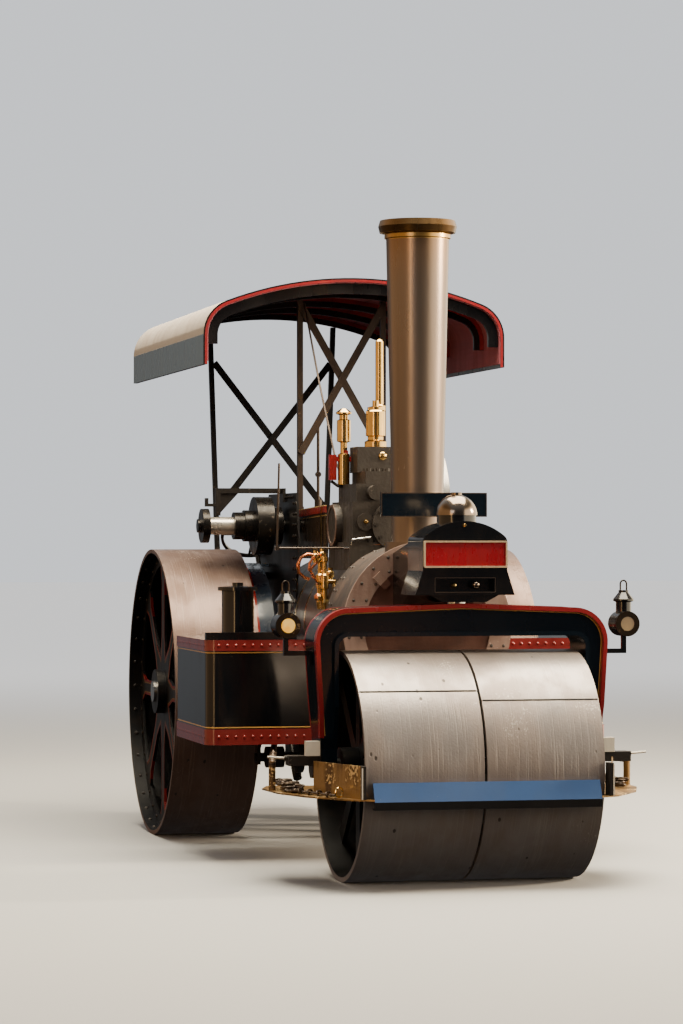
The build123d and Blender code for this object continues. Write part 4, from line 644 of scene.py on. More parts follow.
@dataclass(frozen=True)
class SheetFinish(Finish):
    """Brown lined sheet with its red, gold-edged top strip."""

    red: Color = (0.28, 0.015, 0.012)
    gold: Color = (0.75, 0.5, 0.2)
    front: float = 0.0
    top: float = 1.945
    fall: float = 0.0286
    strip: float = 0.042

    def surface(self, sh: Skin) -> None:
        """Paints the strip and its lines along the sloping top.

        Args:
            sh: The material's tree.
        """
        super().surface(sh)
        parts = sh.parts(sh.place)
        slope = sh.times(sh.minus(parts["Y"], self.front), self.fall)
        down = sh.minus(sh.minus(self.top, slope), parts["Z"])
        gold = sh.plus(sh.within(down, -0.01, 0.005), sh.within(down, self.strip + 0.012, self.strip + 0.017))
        sh.cover(sh.within(down, 0.006, self.strip), self.red)
        sh.cover(gold, self.gold)


@dataclass(frozen=True)
class LensFinish:
    """Lamp glass with a warm flame behind the right one."""

    name: str = "lamp_glass"
    glow: Color = (1.0, 0.46, 0.03)
    flame: Color = (1.0, 0.62, 0.14)
    dim: Color = (0.16, 0.12, 0.08)
    glass: tuple[Color, Color] = ((0.3, 0.18, 0.05), (0.45, 0.3, 0.1))
    strength: float = 0.85
    slot: str = "lamp_glass"

    def shade(self, sh: Skin) -> dict[str, Any]:
        """Builds the glass and the flame.

        Args:
            sh: The material's tree.

        Returns:
            What the shader's inputs get.
        """
        height = sh.noise(sh.place, 60.0, 2.0)
        ripple = sh.node("ShaderNodeBump", {"Strength": 0.3, "Distance": 0.003, "Height": height})
        side = sh.ramp(sh.parts(sh.place)["X"], -0.1, 0.1)
        flame = sh.blend(sh.patches(22.0, 0.4, 0.6, 1.0), self.glow, self.flame)
        return {"Base Color": sh.blend(sh.noise(sh.place, 30.0, 2.0), *self.glass), "Roughness": 0.08,
                "Transmission Weight": 0.35, "IOR": 1.5, "Emission Color": sh.blend(side, flame, self.dim),
                "Emission Strength": self.strength, "Normal": ripple.outputs[0]}

    def material(self) -> bpy.types.Material:
        """Returns the material, built on its first use."""
        return surfaced(f"{self.name}_finish", self.shade)


BLACK_PAINT = Finish(
    "coach_black", (0.004, 0.0045, 0.006), worn=(0.05, 0.042, 0.038), dirty=(0.012, 0.009, 0.007),
    dusty=(0.06, 0.05, 0.042), roughness=0.13, coat=0.3, specular=0.4, wear=0.0, dirt=0.3, dust=0.1, bump=0.02,
    slot="black_paint")
FRAME_BLACK = Finish(
    "frame_black", (0.006, 0.006, 0.007), worn=(0.05, 0.04, 0.034), dirty=(0.015, 0.012, 0.01), roughness=0.3,
    specular=0.35, dirt=0.3, bump=0.08, slot="black_paint")
YOKE_BLACK = Finish(
    "yoke_black", (0.004, 0.009, 0.016), worn=(0.05, 0.042, 0.038), dirty=(0.01, 0.01, 0.011),
    dusty=(0.05, 0.045, 0.04), roughness=0.16, coat=0.2, specular=0.22, wear=0.04, dirt=0.15, bump=0.04,
    slot="yoke_black")
RED_PAINT = Finish(
    "lining_red", (0.29, 0.018, 0.02), worn=(0.13, 0.03, 0.02), dirty=(0.2, 0.008, 0.006), roughness=0.2, coat=0.2,
    wear=0.08, dirt=0.35, slot="red_paint")
PLATE_RED = Finish(
    "plate_red", (0.38, 0.006, 0.018), worn=(0.2, 0.02, 0.015), dirty=(0.2, 0.004, 0.005), roughness=0.25, patch=16.0,
    wear=0.05, dirt=0.45, bump=0.1, slot="red_paint")
ROOF_RED = Finish(
    "roof_edge_red", (0.3, 0.01, 0.016), worn=(0.13, 0.03, 0.02), dirty=(0.07, 0.006, 0.006), coat=0.3, wear=0.08,
    dirt=0.45, slot="red_paint")
# Blue-grey face of the black gear guard: a painted reflection of the sky. The red strip along its outer part is its
# paint.
GUARD_SKY_REFLECTION = SplitFinish(
    "guard_grey", (0.035, 0.06, 0.1), worn=(0.16, 0.17, 0.19), roughness=0.22, coat=0.4, dust=0.1,
    other=(0.4, 0.02, 0.012), axis=Axis.X, low=-1.0, high=-0.54, slot="black_paint")
TRAY_METAL = Finish(
    "tray_metal", (0.34, 0.2, 0.07), worn=(0.8, 0.56, 0.25), dirty=(0.05, 0.026, 0.013), metallic=0.4, roughness=0.28,
    patch=7.0, wear=0.5, dirt=0.85, bump=0.3)
LAMP_RIM = Finish(
    "lamp_rim", (0.045, 0.032, 0.022), worn=(0.3, 0.2, 0.1), metallic=0.85, roughness=0.28, wear=0.3, dirt=0.3,
    slot="brass")
GOLD_LINE = Finish(
    "lining_gold", (0.75, 0.4, 0.1), worn=(0.4, 0.2, 0.06), wear=0.05, dirt=0.2, bump=0.0, slot="brass")
PALE_RIM = Finish(
    "plate_rim", (0.8, 0.64, 0.44), worn=(0.5, 0.4, 0.25), dirty=(0.45, 0.32, 0.16), roughness=0.22, metallic=0.3,
    patch=14.0, bump=0.1, slot="polished_steel")
ROLL_STEEL = WheelFinish(
    "roll_steel", (0.38, 0.34, 0.325), worn=(0.5, 0.46, 0.42), dirty=(0.25, 0.2, 0.175), metallic=0.6, roughness=0.36,
    patch=3.5, grain=90.0, wear=0.05, dirt=0.5, bump=0.2, rim=0.5665, slot="roll_steel")
WHEEL_STEEL = LinedWheelFinish(
    "wheel_steel", (0.21, 0.14, 0.115), worn=(0.4, 0.32, 0.28), dirty=(0.13, 0.075, 0.052), bright=(0.5, 0.42, 0.37),
    metallic=0.5, roughness=0.38, grain=70.0, dirt=0.7, bump=0.25, rim=0.8235, slot="wheel_steel")
FLYWHEEL_PAINT = WheelFinish(
    "flywheel_paint", (0.5, 0.48, 0.45), dirty=(0.2, 0.17, 0.15), metallic=0.9, roughness=0.25, wear=0.05, bump=0.08,
    rim=0.545, inside=(0.06, 0.004, 0.004), slot="black_paint")
WHEEL_INSIDE = Finish(
    "wheel_inside", (0.01, 0.009, 0.01), worn=(0.06, 0.045, 0.035), roughness=0.4, wear=0.15, dust=0.3,
    slot="wheel_steel")
DOOR_IRON = DoorFinish(
    "smokebox_iron", (0.29, 0.2, 0.165), worn=(0.42, 0.31, 0.27), dirty=(0.17, 0.09, 0.065), metallic=0.1,
    roughness=0.6, patch=6.0, wear=0.25, dirt=0.65, bump=0.35, slot="rusty_iron")
SLOT_IRON = Finish(
    "ring_bolts", (0.03, 0.022, 0.02), worn=(0.12, 0.08, 0.06), roughness=0.5, wear=0.2, dirt=0.5, slot="rusty_iron")
RUSTY_IRON = Finish(
    "rusty_iron", (0.16, 0.095, 0.07), worn=(0.33, 0.2, 0.15), dirty=(0.07, 0.035, 0.025), metallic=0.15,
    roughness=0.6, patch=5.0, wear=0.4, dirt=0.6, bump=0.35, dust=0.3, slot="rusty_iron")
STACK_IRON = StackFinish(
    "chimney_iron", (0.26, 0.2, 0.16), worn=(0.36, 0.29, 0.24), dirty=(0.13, 0.1, 0.08), metallic=0.85,
    roughness=0.27, patch=3.0, dirt=0.5, bump=0.08, stretch=(1.0, 1.0, 0.3), slot="chimney_iron")
DARK_IRON = Finish(
    "dark_iron", (0.03, 0.026, 0.024), worn=(0.11, 0.085, 0.07), dirty=(0.012, 0.009, 0.008), metallic=0.4,
    roughness=0.36, patch=6.0, wear=0.25, dirt=0.6, dust=0.08, bump=0.25)
BLOCK_IRON = Finish(
    "block_iron", (0.062, 0.054, 0.048), worn=(0.15, 0.125, 0.105), dirty=(0.022, 0.017, 0.014), metallic=0.35,
    roughness=0.4, patch=7.0, wear=0.15, dirt=0.7, dust=0.1, bump=0.35)
SHAFT_STEEL = SplitFinish(
    "shaft_steel", (0.028, 0.025, 0.023), worn=(0.12, 0.1, 0.08), dirty=(0.012, 0.01, 0.009), metallic=0.75,
    roughness=0.25, patch=9.0, wear=0.25, dirt=0.5, bump=0.12, other=(0.62, 0.57, 0.5), axis=Axis.X, low=-0.831,
    high=-0.684)
LAGGING = Finish(
    "lagging_paint", (0.016, 0.013, 0.012), worn=(0.06, 0.042, 0.035), dirty=(0.03, 0.018, 0.012), roughness=0.28,
    coat=0.3, dirt=0.6, dust=0.1)
BRIGHT_STEEL = Finish(
    "bright_steel", (0.62, 0.6, 0.57), worn=(0.4, 0.36, 0.32), dirty=(0.25, 0.2, 0.16), metallic=1.0, roughness=0.2,
    patch=8.0, dirt=0.35, bump=0.05, slot="polished_steel")
DOME_STEEL = Finish(
    "dome_steel", (0.25, 0.195, 0.15), worn=(0.4, 0.36, 0.3), dirty=(0.15, 0.12, 0.09), metallic=1.0, roughness=0.16,
    patch=8.0, wear=0.0, dirt=0.3, bump=0.01, slot="polished_steel")
BRASS = Finish(
    "brass", (0.83, 0.56, 0.2), worn=(0.6, 0.38, 0.14), dirty=(0.4, 0.22, 0.07), metallic=1.0, roughness=0.12,
    patch=12.0, dirt=0.3, bump=0.04, slot="brass")
PIPE_BRASS = SplitFinish(
    "pipe_brass", (0.8, 0.5, 0.17), worn=(0.6, 0.36, 0.12), dirty=(0.3, 0.15, 0.05), metallic=1.0, roughness=0.18,
    patch=14.0, wear=0.15, dirt=0.45, bump=0.06, other=(0.8, 0.27, 0.12), axis=Axis.X, low=-0.6, high=-0.43,
    slot="brass")
# Pale cream on the tray brackets: the strips and blocks on their edges are painted highlights, and the rod beside them
# shares this finish.
PALE_HIGHLIGHT_STEEL = Finish(
    "pale_steel", (0.85, 0.79, 0.68), worn=(0.5, 0.46, 0.4), dirty=(0.4, 0.33, 0.24), roughness=0.4, patch=12.0,
    dirt=0.3, slot="polished_steel")
COPPER = Finish(
    "copper", (0.78, 0.28, 0.13), worn=(0.5, 0.2, 0.1), dirty=(0.3, 0.1, 0.05), metallic=1.0, roughness=0.24,
    patch=12.0, bump=0.06, slot="brass")
BROWN_PAINT = SheetFinish(
    "motion_brown", (0.06, 0.038, 0.024), worn=(0.2, 0.13, 0.08), dirty=(0.025, 0.015, 0.01), roughness=0.2, coat=0.5,
    dirt=0.6, bump=0.1, slot="brown_paint")
TENDER_PAINT = Finish(
    "tender_black", (0.007, 0.007, 0.008), worn=(0.08, 0.065, 0.055), dirty=(0.015, 0.011, 0.009),
    dusty=(0.08, 0.07, 0.06), roughness=0.2, coat=0.4, wear=0.05, dirt=0.35, dust=0.2, bump=0.05, slot="tender_paint")
ROOF_CREAM = RoofFinish(
    "roof_cream", (0.76, 0.68, 0.58), worn=(0.5, 0.42, 0.34), dirty=(0.36, 0.28, 0.21), roughness=0.45, wear=0.05,
    dirt=0.5, seam=(0.4, 0.33, 0.26), board=0.15, slot="canopy_wood")
ROOF_BOARDS = BoardFinish(
    "roof_boards", (0.5, 0.14, 0.18), worn=(0.4, 0.12, 0.14), dirty=(0.2, 0.05, 0.065), roughness=0.55, wear=0.05,
    dirt=0.5, bump=0.3, slot="canopy_wood")
BROWN_STEEL = Finish(
    "post_steel", (0.085, 0.062, 0.05), worn=(0.2, 0.16, 0.13), dirty=(0.04, 0.027, 0.02), metallic=0.6,
    roughness=0.34, wear=0.15, dirt=0.5, slot="polished_steel")
CHAIN_IRON = Finish(
    "chain_iron", (0.1, 0.072, 0.052), worn=(0.3, 0.23, 0.17), dirty=(0.035, 0.024, 0.018), metallic=0.8,
    roughness=0.36, patch=20.0, wear=0.3, dirt=0.6, bump=0.3, slot="chain_iron")
FLOOR_PLATE = ChequerFinish(
    "floor_plate", (0.06, 0.05, 0.045), worn=(0.2, 0.17, 0.15), metallic=0.5, roughness=0.45, wear=0.2, dirt=0.5,
    bump=0.5, dust=0.3, slot="tender_paint")
# Blue on the scraper bar's black paint is a painted reflection of the sky, with its dirt and dust tinted blue as well.
# The lower flange between 0.3 and 0.452 m, which is in shade, keeps plain black.
BAR_SKY_REFLECTION = SplitFinish(
    "scraper_paint", (0.035, 0.08, 0.21), worn=(0.2, 0.2, 0.22), dirty=(0.035, 0.06, 0.13), dusty=(0.1, 0.13, 0.2),
    specular=0.25, wear=0.05, dirt=0.35, bump=0.06, low=0.3, high=0.452, slot="yoke_black")
TANK_BLACK = TankFinish(
    "tank_black", (0.004, 0.0045, 0.006), worn=(0.05, 0.04, 0.035), dirty=(0.016, 0.011, 0.008), roughness=0.12,
    coat=0.3, specular=0.4, wear=0.0, bump=0.9, slot="black_paint")
TANK_BLACK = TankFinish(
    "tank_black", (0.004, 0.0045, 0.006), worn=(0.05, 0.04, 0.035), dirty=(0.016, 0.011, 0.008), roughness=0.12,
    coat=0.3, specular=0.4, wear=0.0, bump=0.9, slot="black_paint")
FLAME_GLASS = LensFinish()
AnyFinish = Finish | LensFinish


@cache
def kingpin_y() -> float:
    """Returns where the kingpin stands along the model's own frame."""
    low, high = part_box("kingpin")
    return (low.y + high.y) / 2


def metres(x: float, y: float, z: float) -> Vector:
    """Returns millimetres from the kingpin as a point of the model's own frame."""
    return Vector((x * MM, y * MM + kingpin_y(), z * MM))


def rounded(points: Sequence[Flat], radii: Sequence[float], steps: int) -> list[Flat]:
    """Rounds the corners of a closed outline.

    Args:
        points: The corners in order.
        radii: Radius at each corner, 0 for a sharp one.
        steps: Pieces of each arc.

    Returns:
        The outline's points.
    """
    made: list[Flat] = []
    for index, (corner, radius) in enumerate(zip(points, radii)):
        if radius <= 0:
            made.extend([corner] * (steps + 1))
            continue
        here = Vector(corner)
        back = (Vector(points[index - 1]) - here).normalized()
        ahead = (Vector(points[(index + 1) % len(points)]) - here).normalized()
        half = back.angle(ahead) / 2
        reach = radius / math.tan(half)
        centre = here + (back + ahead).normalized() * (radius / math.sin(half))
        start = here + back * reach - centre
        end = here + ahead * reach - centre
        first = math.atan2(start.y, start.x)
        turn = (math.atan2(end.y, end.x) - first + math.pi) % math.tau - math.pi
        for step in range(steps + 1):
            angle = first + turn * step / steps
            made.append((centre.x + radius * math.cos(angle), centre.y + radius * math.sin(angle)))
    return made


def circle(radius: float, steps: int, start: float = 0.0, turn: float = 360.0,
           centre: Flat = (0.0, 0.0)) -> list[Flat]:
    """Points round a circle.

    Args:
        radius: Its radius.
        steps: How many points a full ring has.
        start: First angle in degrees.
        turn: Angle covered, in degrees.
        centre: Its middle.

    Returns:
        The points.
    """
    angles = [math.radians(start + turn * step / steps) for step in range(steps)]
    return [(radius * math.cos(angle) + centre[0], radius * math.sin(angle) + centre[1]) for angle in angles]


def rectangle(half: float, low: float, high: float, grow: float = 0.0) -> list[Flat]:
    """Returns the corners of a rectangle about the middle, moved outward by grow."""
    x, z0, z1 = half + grow, low - grow, high + grow
    return [(-x, z0), (x, z0), (x, z1), (-x, z1)]


def drawn_in(points: list[Flat], gap: float) -> list[Flat]:
    """Moves every edge of an outline inward.

    Args:
        points: Corners, counter-clockwise.
        gap: How far the edges move.

    Returns:
        The corners of the smaller outline.
    """
    made = []
    for before, here, after in zip(points[-1:] + points[:-1], points, points[1:] + points[:1]):
        a = (Vector(here) - Vector(before)).normalized()
        b = (Vector(after) - Vector(here)).normalized()
        corner = Vector((-a.y - b.y, a.x + b.x)) * gap / (1.0 + a.dot(b))
        made.append((here[0] + corner.x, here[1] + corner.y))
    return made


def lift(flat: Flat, axis: Axis, level: float) -> Point:
    """Puts a point of a flat drawing into space.

    Args:
        flat: The point; the drawing's coordinates are the other two axes in order.
        axis: The axis that the drawing faces.
        level: Place along that axis.

    Returns:
        The point.
    """
    values = list(flat)
    values.insert(axis.value, level)
    return values[0], values[1], values[2]


class Fitting:
    """One mesh of small forms that share a finish and ride on one body.

    Faces that meet at less than smooth degrees shade as one, and points nearer than least_gap metres join.
    """

    smooth: float = 40.0
    least_gap: float = 1e-5
    least_radius: float = 0.01

    def __init__(self, name: str, body: str, finish: AnyFinish) -> None:
        """Starts an empty mesh.

        Args:
            name: Name of the piece.
            body: Body that carries it.
            finish: What it is painted with or made of.
        """
        self.name = name
        self.body = body
        self.finish = finish
        self.mesh = bmesh.new()

    def face(self, corners: Sequence[bmesh.types.BMVert]) -> None:
        """Adds a face unless its corners coincide.

        Args:
            corners: The corners in order.
        """
        distinct = list(dict.fromkeys(corners))
        if len(distinct) > 2:
            self.mesh.faces.new(distinct)

    def rings(self, rows: Sequence[Sequence[Point]], closed: bool = False) -> None:
        """Skins a tube over rings of points.

        Args:
            rows: Rings in order, each with as many points.
            closed: True where the last ring meets the first, so that no end needs a face.
        """
        made = [[self.mesh.verts.new(metres(*point)) for point in row] for row in rows]
        size = len(made[0])
        for first, second in zip(made, made[1:]):
            for index in range(size):
                after = (index + 1) % size
                self.face([first[index], first[after], second[after], second[index]])
        if not closed:
            self.face(made[0])
            self.face(made[-1])

    def box(self, x: Flat, y: Flat, z: Flat) -> None:
        """Adds a block between two ends across, along and in height."""
        x = min(x), max(x)
        self.plate([(x[0], y[0]), (x[1], y[0]), (x[1], y[1]), (x[0], y[1])], Axis.Z, z[0], z[1])

    def plate(self, outline: Sequence[Flat], axis: Axis, low: float, high: float) -> None:
        """Adds a plate between two places along the axis that its outline faces."""
        self.rings([[lift(p, axis, low) for p in outline], [lift(p, axis, high) for p in outline]])

    def band(self, outer: Sequence[Flat], inner: Sequence[Flat], axis: Axis, low: float, high: float,
             closed: bool = True) -> None:
        """Adds a flat band between two outlines with as many points.

        Args:
            outer: First outline.
            inner: Second outline.
            axis: The axis that the drawing faces.
            low: First face along the axis.
            high: Second face along the axis.
            closed: True where the outlines are full rings.
        """
        rows = [[lift(a, axis, low), lift(b, axis, low), lift(b, axis, high), lift(a, axis, high)]
                for a, b in zip(outer, inner)]
        self.rings(rows + rows[:1] if closed else rows, closed)

    def lathe(self, profile: Sequence[Flat], centre: Point, axis: Axis, steps: int) -> None:
        """Adds a turned piece.

        Args:
            profile: Radius and height pairs, from one end to the other.
            centre: Where height 0 is on the axis.
            axis: The axis of the piece.
            steps: Points round it.
        """
        self.rings([[tuple(c + p for c, p in zip(centre, lift(flat, axis, high)))
                     for flat in circle(max(radius, self.least_radius), steps)] for radius, high in profile])

    def tube(self, path: Sequence[Point], radius: float, sides: int, closed: bool = False) -> None:
        """Adds a round bar or pipe along a path.

        Args:
            path: Its points.
            radius: Its radius.
            sides: Points round it.
            closed: True for a loop.
        """
        points = [Vector(p) for p in path]
        count = len(points)
        rows = []
        side = Vector((0.0, 0.0, 1.0))
        for index, here in enumerate(points):
            back = points[index - 1] if index or closed else here
            ahead = points[(index + 1) % count] if index < count - 1 or closed else here
            along = (ahead - back).normalized()
            if abs(side.dot(along)) > 0.98:
                side = Vector((0.0, 1.0, 0.0)) if abs(along.y) < 0.9 else Vector((1.0, 0.0, 0.0))
            side = (side - along * side.dot(along)).normalized()
            other = along.cross(side)
            rows.append([tuple(here + side * a + other * b) for a, b in circle(radius, sides)])
        self.rings(rows + rows[:1] if closed else rows, closed)

    def done(self) -> None:
        """Closes the mesh, dresses it and sets it on its body."""
        bmesh.ops.remove_doubles(self.mesh, verts=self.mesh.verts, dist=self.least_gap)
        bmesh.ops.recalc_face_normals(self.mesh, faces=self.mesh.faces)
        data = bpy.data.meshes.new(self.name)
        self.mesh.to_mesh(data)
        self.mesh.free()
        settle(self.name, data, self.body, self.finish, self.smooth)


def settle(name: str, data: bpy.types.Mesh, body: str, finish: AnyFinish, smooth: float) -> None:
    """Makes an object of a mesh, dresses it and sets it on its body.

    Args:
        name: Name of the piece.
        data: Its mesh.
        body: Body that carries it.
        finish: Its finish.
        smooth: Greatest angle in degrees between faces that shade as one.
    """
    data.polygons.foreach_set("use_smooth", [True] * len(data.polygons))
    data.set_sharp_from_angle(angle=math.radians(smooth))
    data.materials.clear()
    data.materials.append(finish.material())
    made = bpy.data.objects.new(name, data)
    bpy.context.scene.collection.objects.link(made)
    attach(made, body)
    log.info("%s: %d faces on %s", name, len(data.polygons), body)


@dataclass(frozen=True)
class Run:
    """Path that a row of small shapes follows, or their places, with the way they face."""

    points: tuple[Point, ...]
    facing: tuple[Point, ...]
    closed: bool = False


def facing_run(points: Sequence[Point], facing: Point) -> Run:
    """Returns a run of points that share one facing."""
    return Run(tuple(points), (facing,) * len(points))


def ring_run(centre: Point, radius: float, axis: Axis, facing: float = 0.0, steps: int = 48) -> Run:
    """Run round a circle.

    Args:
        centre: Its middle.
        radius: Its radius.
        axis: Its axis.
        facing: 1 or -1 to face along the axis, 0 to face outwards.
        steps: Points of the run.

    Returns:
        The run.
    """
    outs = [lift(flat, axis, 0.0) for flat in circle(1.0, steps)]
    points = [tuple(c + radius * o for c, o in zip(centre, out)) for out in outs]
    ways = [lift((0.0, 0.0), axis, facing)] * steps if facing else outs
    return Run(tuple(points), tuple(ways), True)


@dataclass(frozen=True)
class Repeater:
    """Geometry Nodes tree that sets one small shape along runs or on spots."""

    shape: Shape
    spots: bool = False
    flat: float = 0.62
    smallest: float = 0.93
    largest: float = 1.07
    segments: int = 8
    rings: int = 4

    @property
    def name(self) -> str:
        """Name of the tree."""
        return f"{self.shape.value}_{'spots' if self.spots else 'rows'}"

    def head(self, tree: Nodes, given: Any) -> Socket:
        """Builds the small shape.

        Args:
            tree: The tree.
            given: Sockets of the tree's inputs.

        Returns:
            Socket of the shape's mesh.
        """
        if self.shape is Shape.HEX:
            values = {"Vertices": 6, "Radius": given["Radius"], "Depth": given["Height"]}
            return tree.node("GeometryNodeMeshCylinder", values).outputs["Mesh"]
        dome = tree.node("GeometryNodeMeshUVSphere", {"Segments": self.segments, "Rings": self.rings,
                                                         "Radius": given["Radius"]})
        values = {"Scale": (1.0, 1.0, self.flat), "Geometry": dome.outputs["Mesh"]}
        return tree.node("GeometryNodeTransform", values).outputs["Geometry"]

    def group(self) -> bpy.types.NodeTree:
        """Returns the tree, built on its first use."""
        if self.name in bpy.data.node_groups:
            return bpy.data.node_groups[self.name]
        made = bpy.data.node_groups.new(self.name, "GeometryNodeTree")
        for label, kind in (("Geometry", "Geometry"), ("Spacing", "Float"), ("Radius", "Float"), ("Height", "Float"),
                            ("Seed", "Int"), ("Finish", "Material")):
            made.interface.new_socket(label, in_out="INPUT", socket_type=f"NodeSocket{kind}")
        made.interface.new_socket("Geometry", in_out="OUTPUT", socket_type="NodeSocketGeometry")
        tree = Nodes(made)
        given = tree.node("NodeGroupInput").outputs
        source = given["Geometry"]
        if not self.spots:
            curve = tree.node("GeometryNodeMeshToCurve", {"Mesh": source}).outputs["Curve"]
            values = {"Curve": curve, "Length": given["Spacing"]}
            source = tree.node("GeometryNodeResampleCurve", values, mode="LENGTH").outputs["Curve"]
        way = tree.node("GeometryNodeInputNamedAttribute", {"Name": "facing"}, data_type="FLOAT_VECTOR")
        turn = tree.node("FunctionNodeAlignRotationToVector", {"Vector": way.outputs["Attribute"]}, axis="Z")
        vary = tree.node("FunctionNodeRandomValue", {2: self.smallest, 3: self.largest, "Seed": given["Seed"]})
        values = {"Points": source, "Instance": self.head(tree, given), "Rotation": turn.outputs["Rotation"],
                  "Scale": vary.outputs[1]}
        put = tree.node("GeometryNodeInstanceOnPoints", values).outputs["Instances"]
        real = tree.node("GeometryNodeRealizeInstances", {"Geometry": put}).outputs["Geometry"]
        dress = tree.node("GeometryNodeSetMaterial", {"Geometry": real, "Material": given["Finish"]})
        tree.node("NodeGroupOutput", {"Geometry": dress.outputs["Geometry"]})
        return made

    def lay(self, name: str, body: str, finish: AnyFinish, runs: Sequence[Run], spacing: float = 60.0,
            radius: float = 9.0, height: float = 12.0, seed: int = 1) -> None:
        """Lays the shapes along runs, or on each of their points.

        Args:
            name: Name of the piece.
            body: Body that carries it.
            finish: Its finish.
            runs: Where the shapes go.
            spacing: Distance between shapes along a run.
            radius: Radius of the shape.
            height: Height of a bolt head.
            seed: Seed of the small differences.
        """
        data = bpy.data.meshes.new(name + "_path")
        edges: list[tuple[int, int]] = []
        first = 0
        for run in runs:
            last = first + len(run.points) - 1
            edges += [(i, i + 1) for i in range(first, last)]
            if run.closed:
                edges.append((last, first))
            first = last + 1
        data.from_pydata([metres(*p) for run in runs for p in run.points], [] if self.spots else edges, [])
        way = data.attributes.new("facing", "FLOAT_VECTOR", "POINT")
        way.data.foreach_set("vector", [c for run in runs for facing in run.facing for c in facing])
        path = bpy.data.objects.new(name + "_path", data)
        bpy.context.scene.collection.objects.link(path)
        change = path.modifiers.new("repeat", "NODES")
        change.node_group = self.group()
        values = {"Spacing": spacing * MM, "Radius": radius * MM, "Height": height * MM, "Seed": seed,
                  "Finish": finish.material()}
        for item in change.node_group.interface.items_tree:
            if item.in_out == "INPUT" and item.name in values:
                change[item.identifier] = values[item.name]
        result = bpy.data.meshes.new_from_object(path.evaluated_get(bpy.context.evaluated_depsgraph_get()))
        path.modifiers.clear()
        bpy.data.objects.remove(path)
        bpy.data.meshes.remove(data)
        result.name = name
        settle(name, result, body, finish, 50.0 if self.shape is Shape.DOME else 20.0)


RIVETS = Repeater(Shape.DOME)
BOLTS = Repeater(Shape.HEX)
SPOT_BOLTS = Repeater(Shape.HEX, spots=True)


@dataclass
class Assembly:
    """Part of the roller that is dressed as one."""

    frame: dict[str, Any]

    def paint(self, finish: AnyFinish, *nodes: str) -> None:
        """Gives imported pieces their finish.

        Args:
            finish: The finish.
            *nodes: Names of the pieces.
        """
        for node in nodes:
            data = self.frame["nodes"][node].data
            data.materials.clear()
            data.materials.append(finish.material())

    def build(self) -> None:
        """Dresses the sub-assembly."""
        raise NotImplementedError


@dataclass
class FrontRolls(Assembly):
    """Two halves of the front roll with their weld seams."""

    radius: float = 591.0
    half: float = 618.0
    split: float = 7.0
    seam: float = 5.0
    sunk: float = 0.9995
    right_angle: float = 137.7
    left_angle: float = 143.5

    def build(self) -> None:
        """Dresses the rolls and adds the seams."""
        axle = metres(0.0, 0.0, self.radius)
        self.paint(replace(ROLL_STEEL, centre=(axle.y, axle.z)), "roll_right", "roll_left")
        for name, inner, outer, angle in (("right", -self.half + 4, -self.split - 3, self.right_angle),
                                          ("left", self.split + 3, self.half - 4, self.left_angle)):
            up, out = math.sin(math.radians(angle)), math.cos(math.radians(angle))
            seam = Fitting(f"roll_seam_{name}", f"roll_{name}", DARK_IRON)
            seam.tube([(x, self.radius * out * self.sunk, self.radius + self.radius * up * self.sunk)
                       for x in (inner, inner * 0.6 + outer * 0.4, outer)], self.seam, 6)
            seam.done()


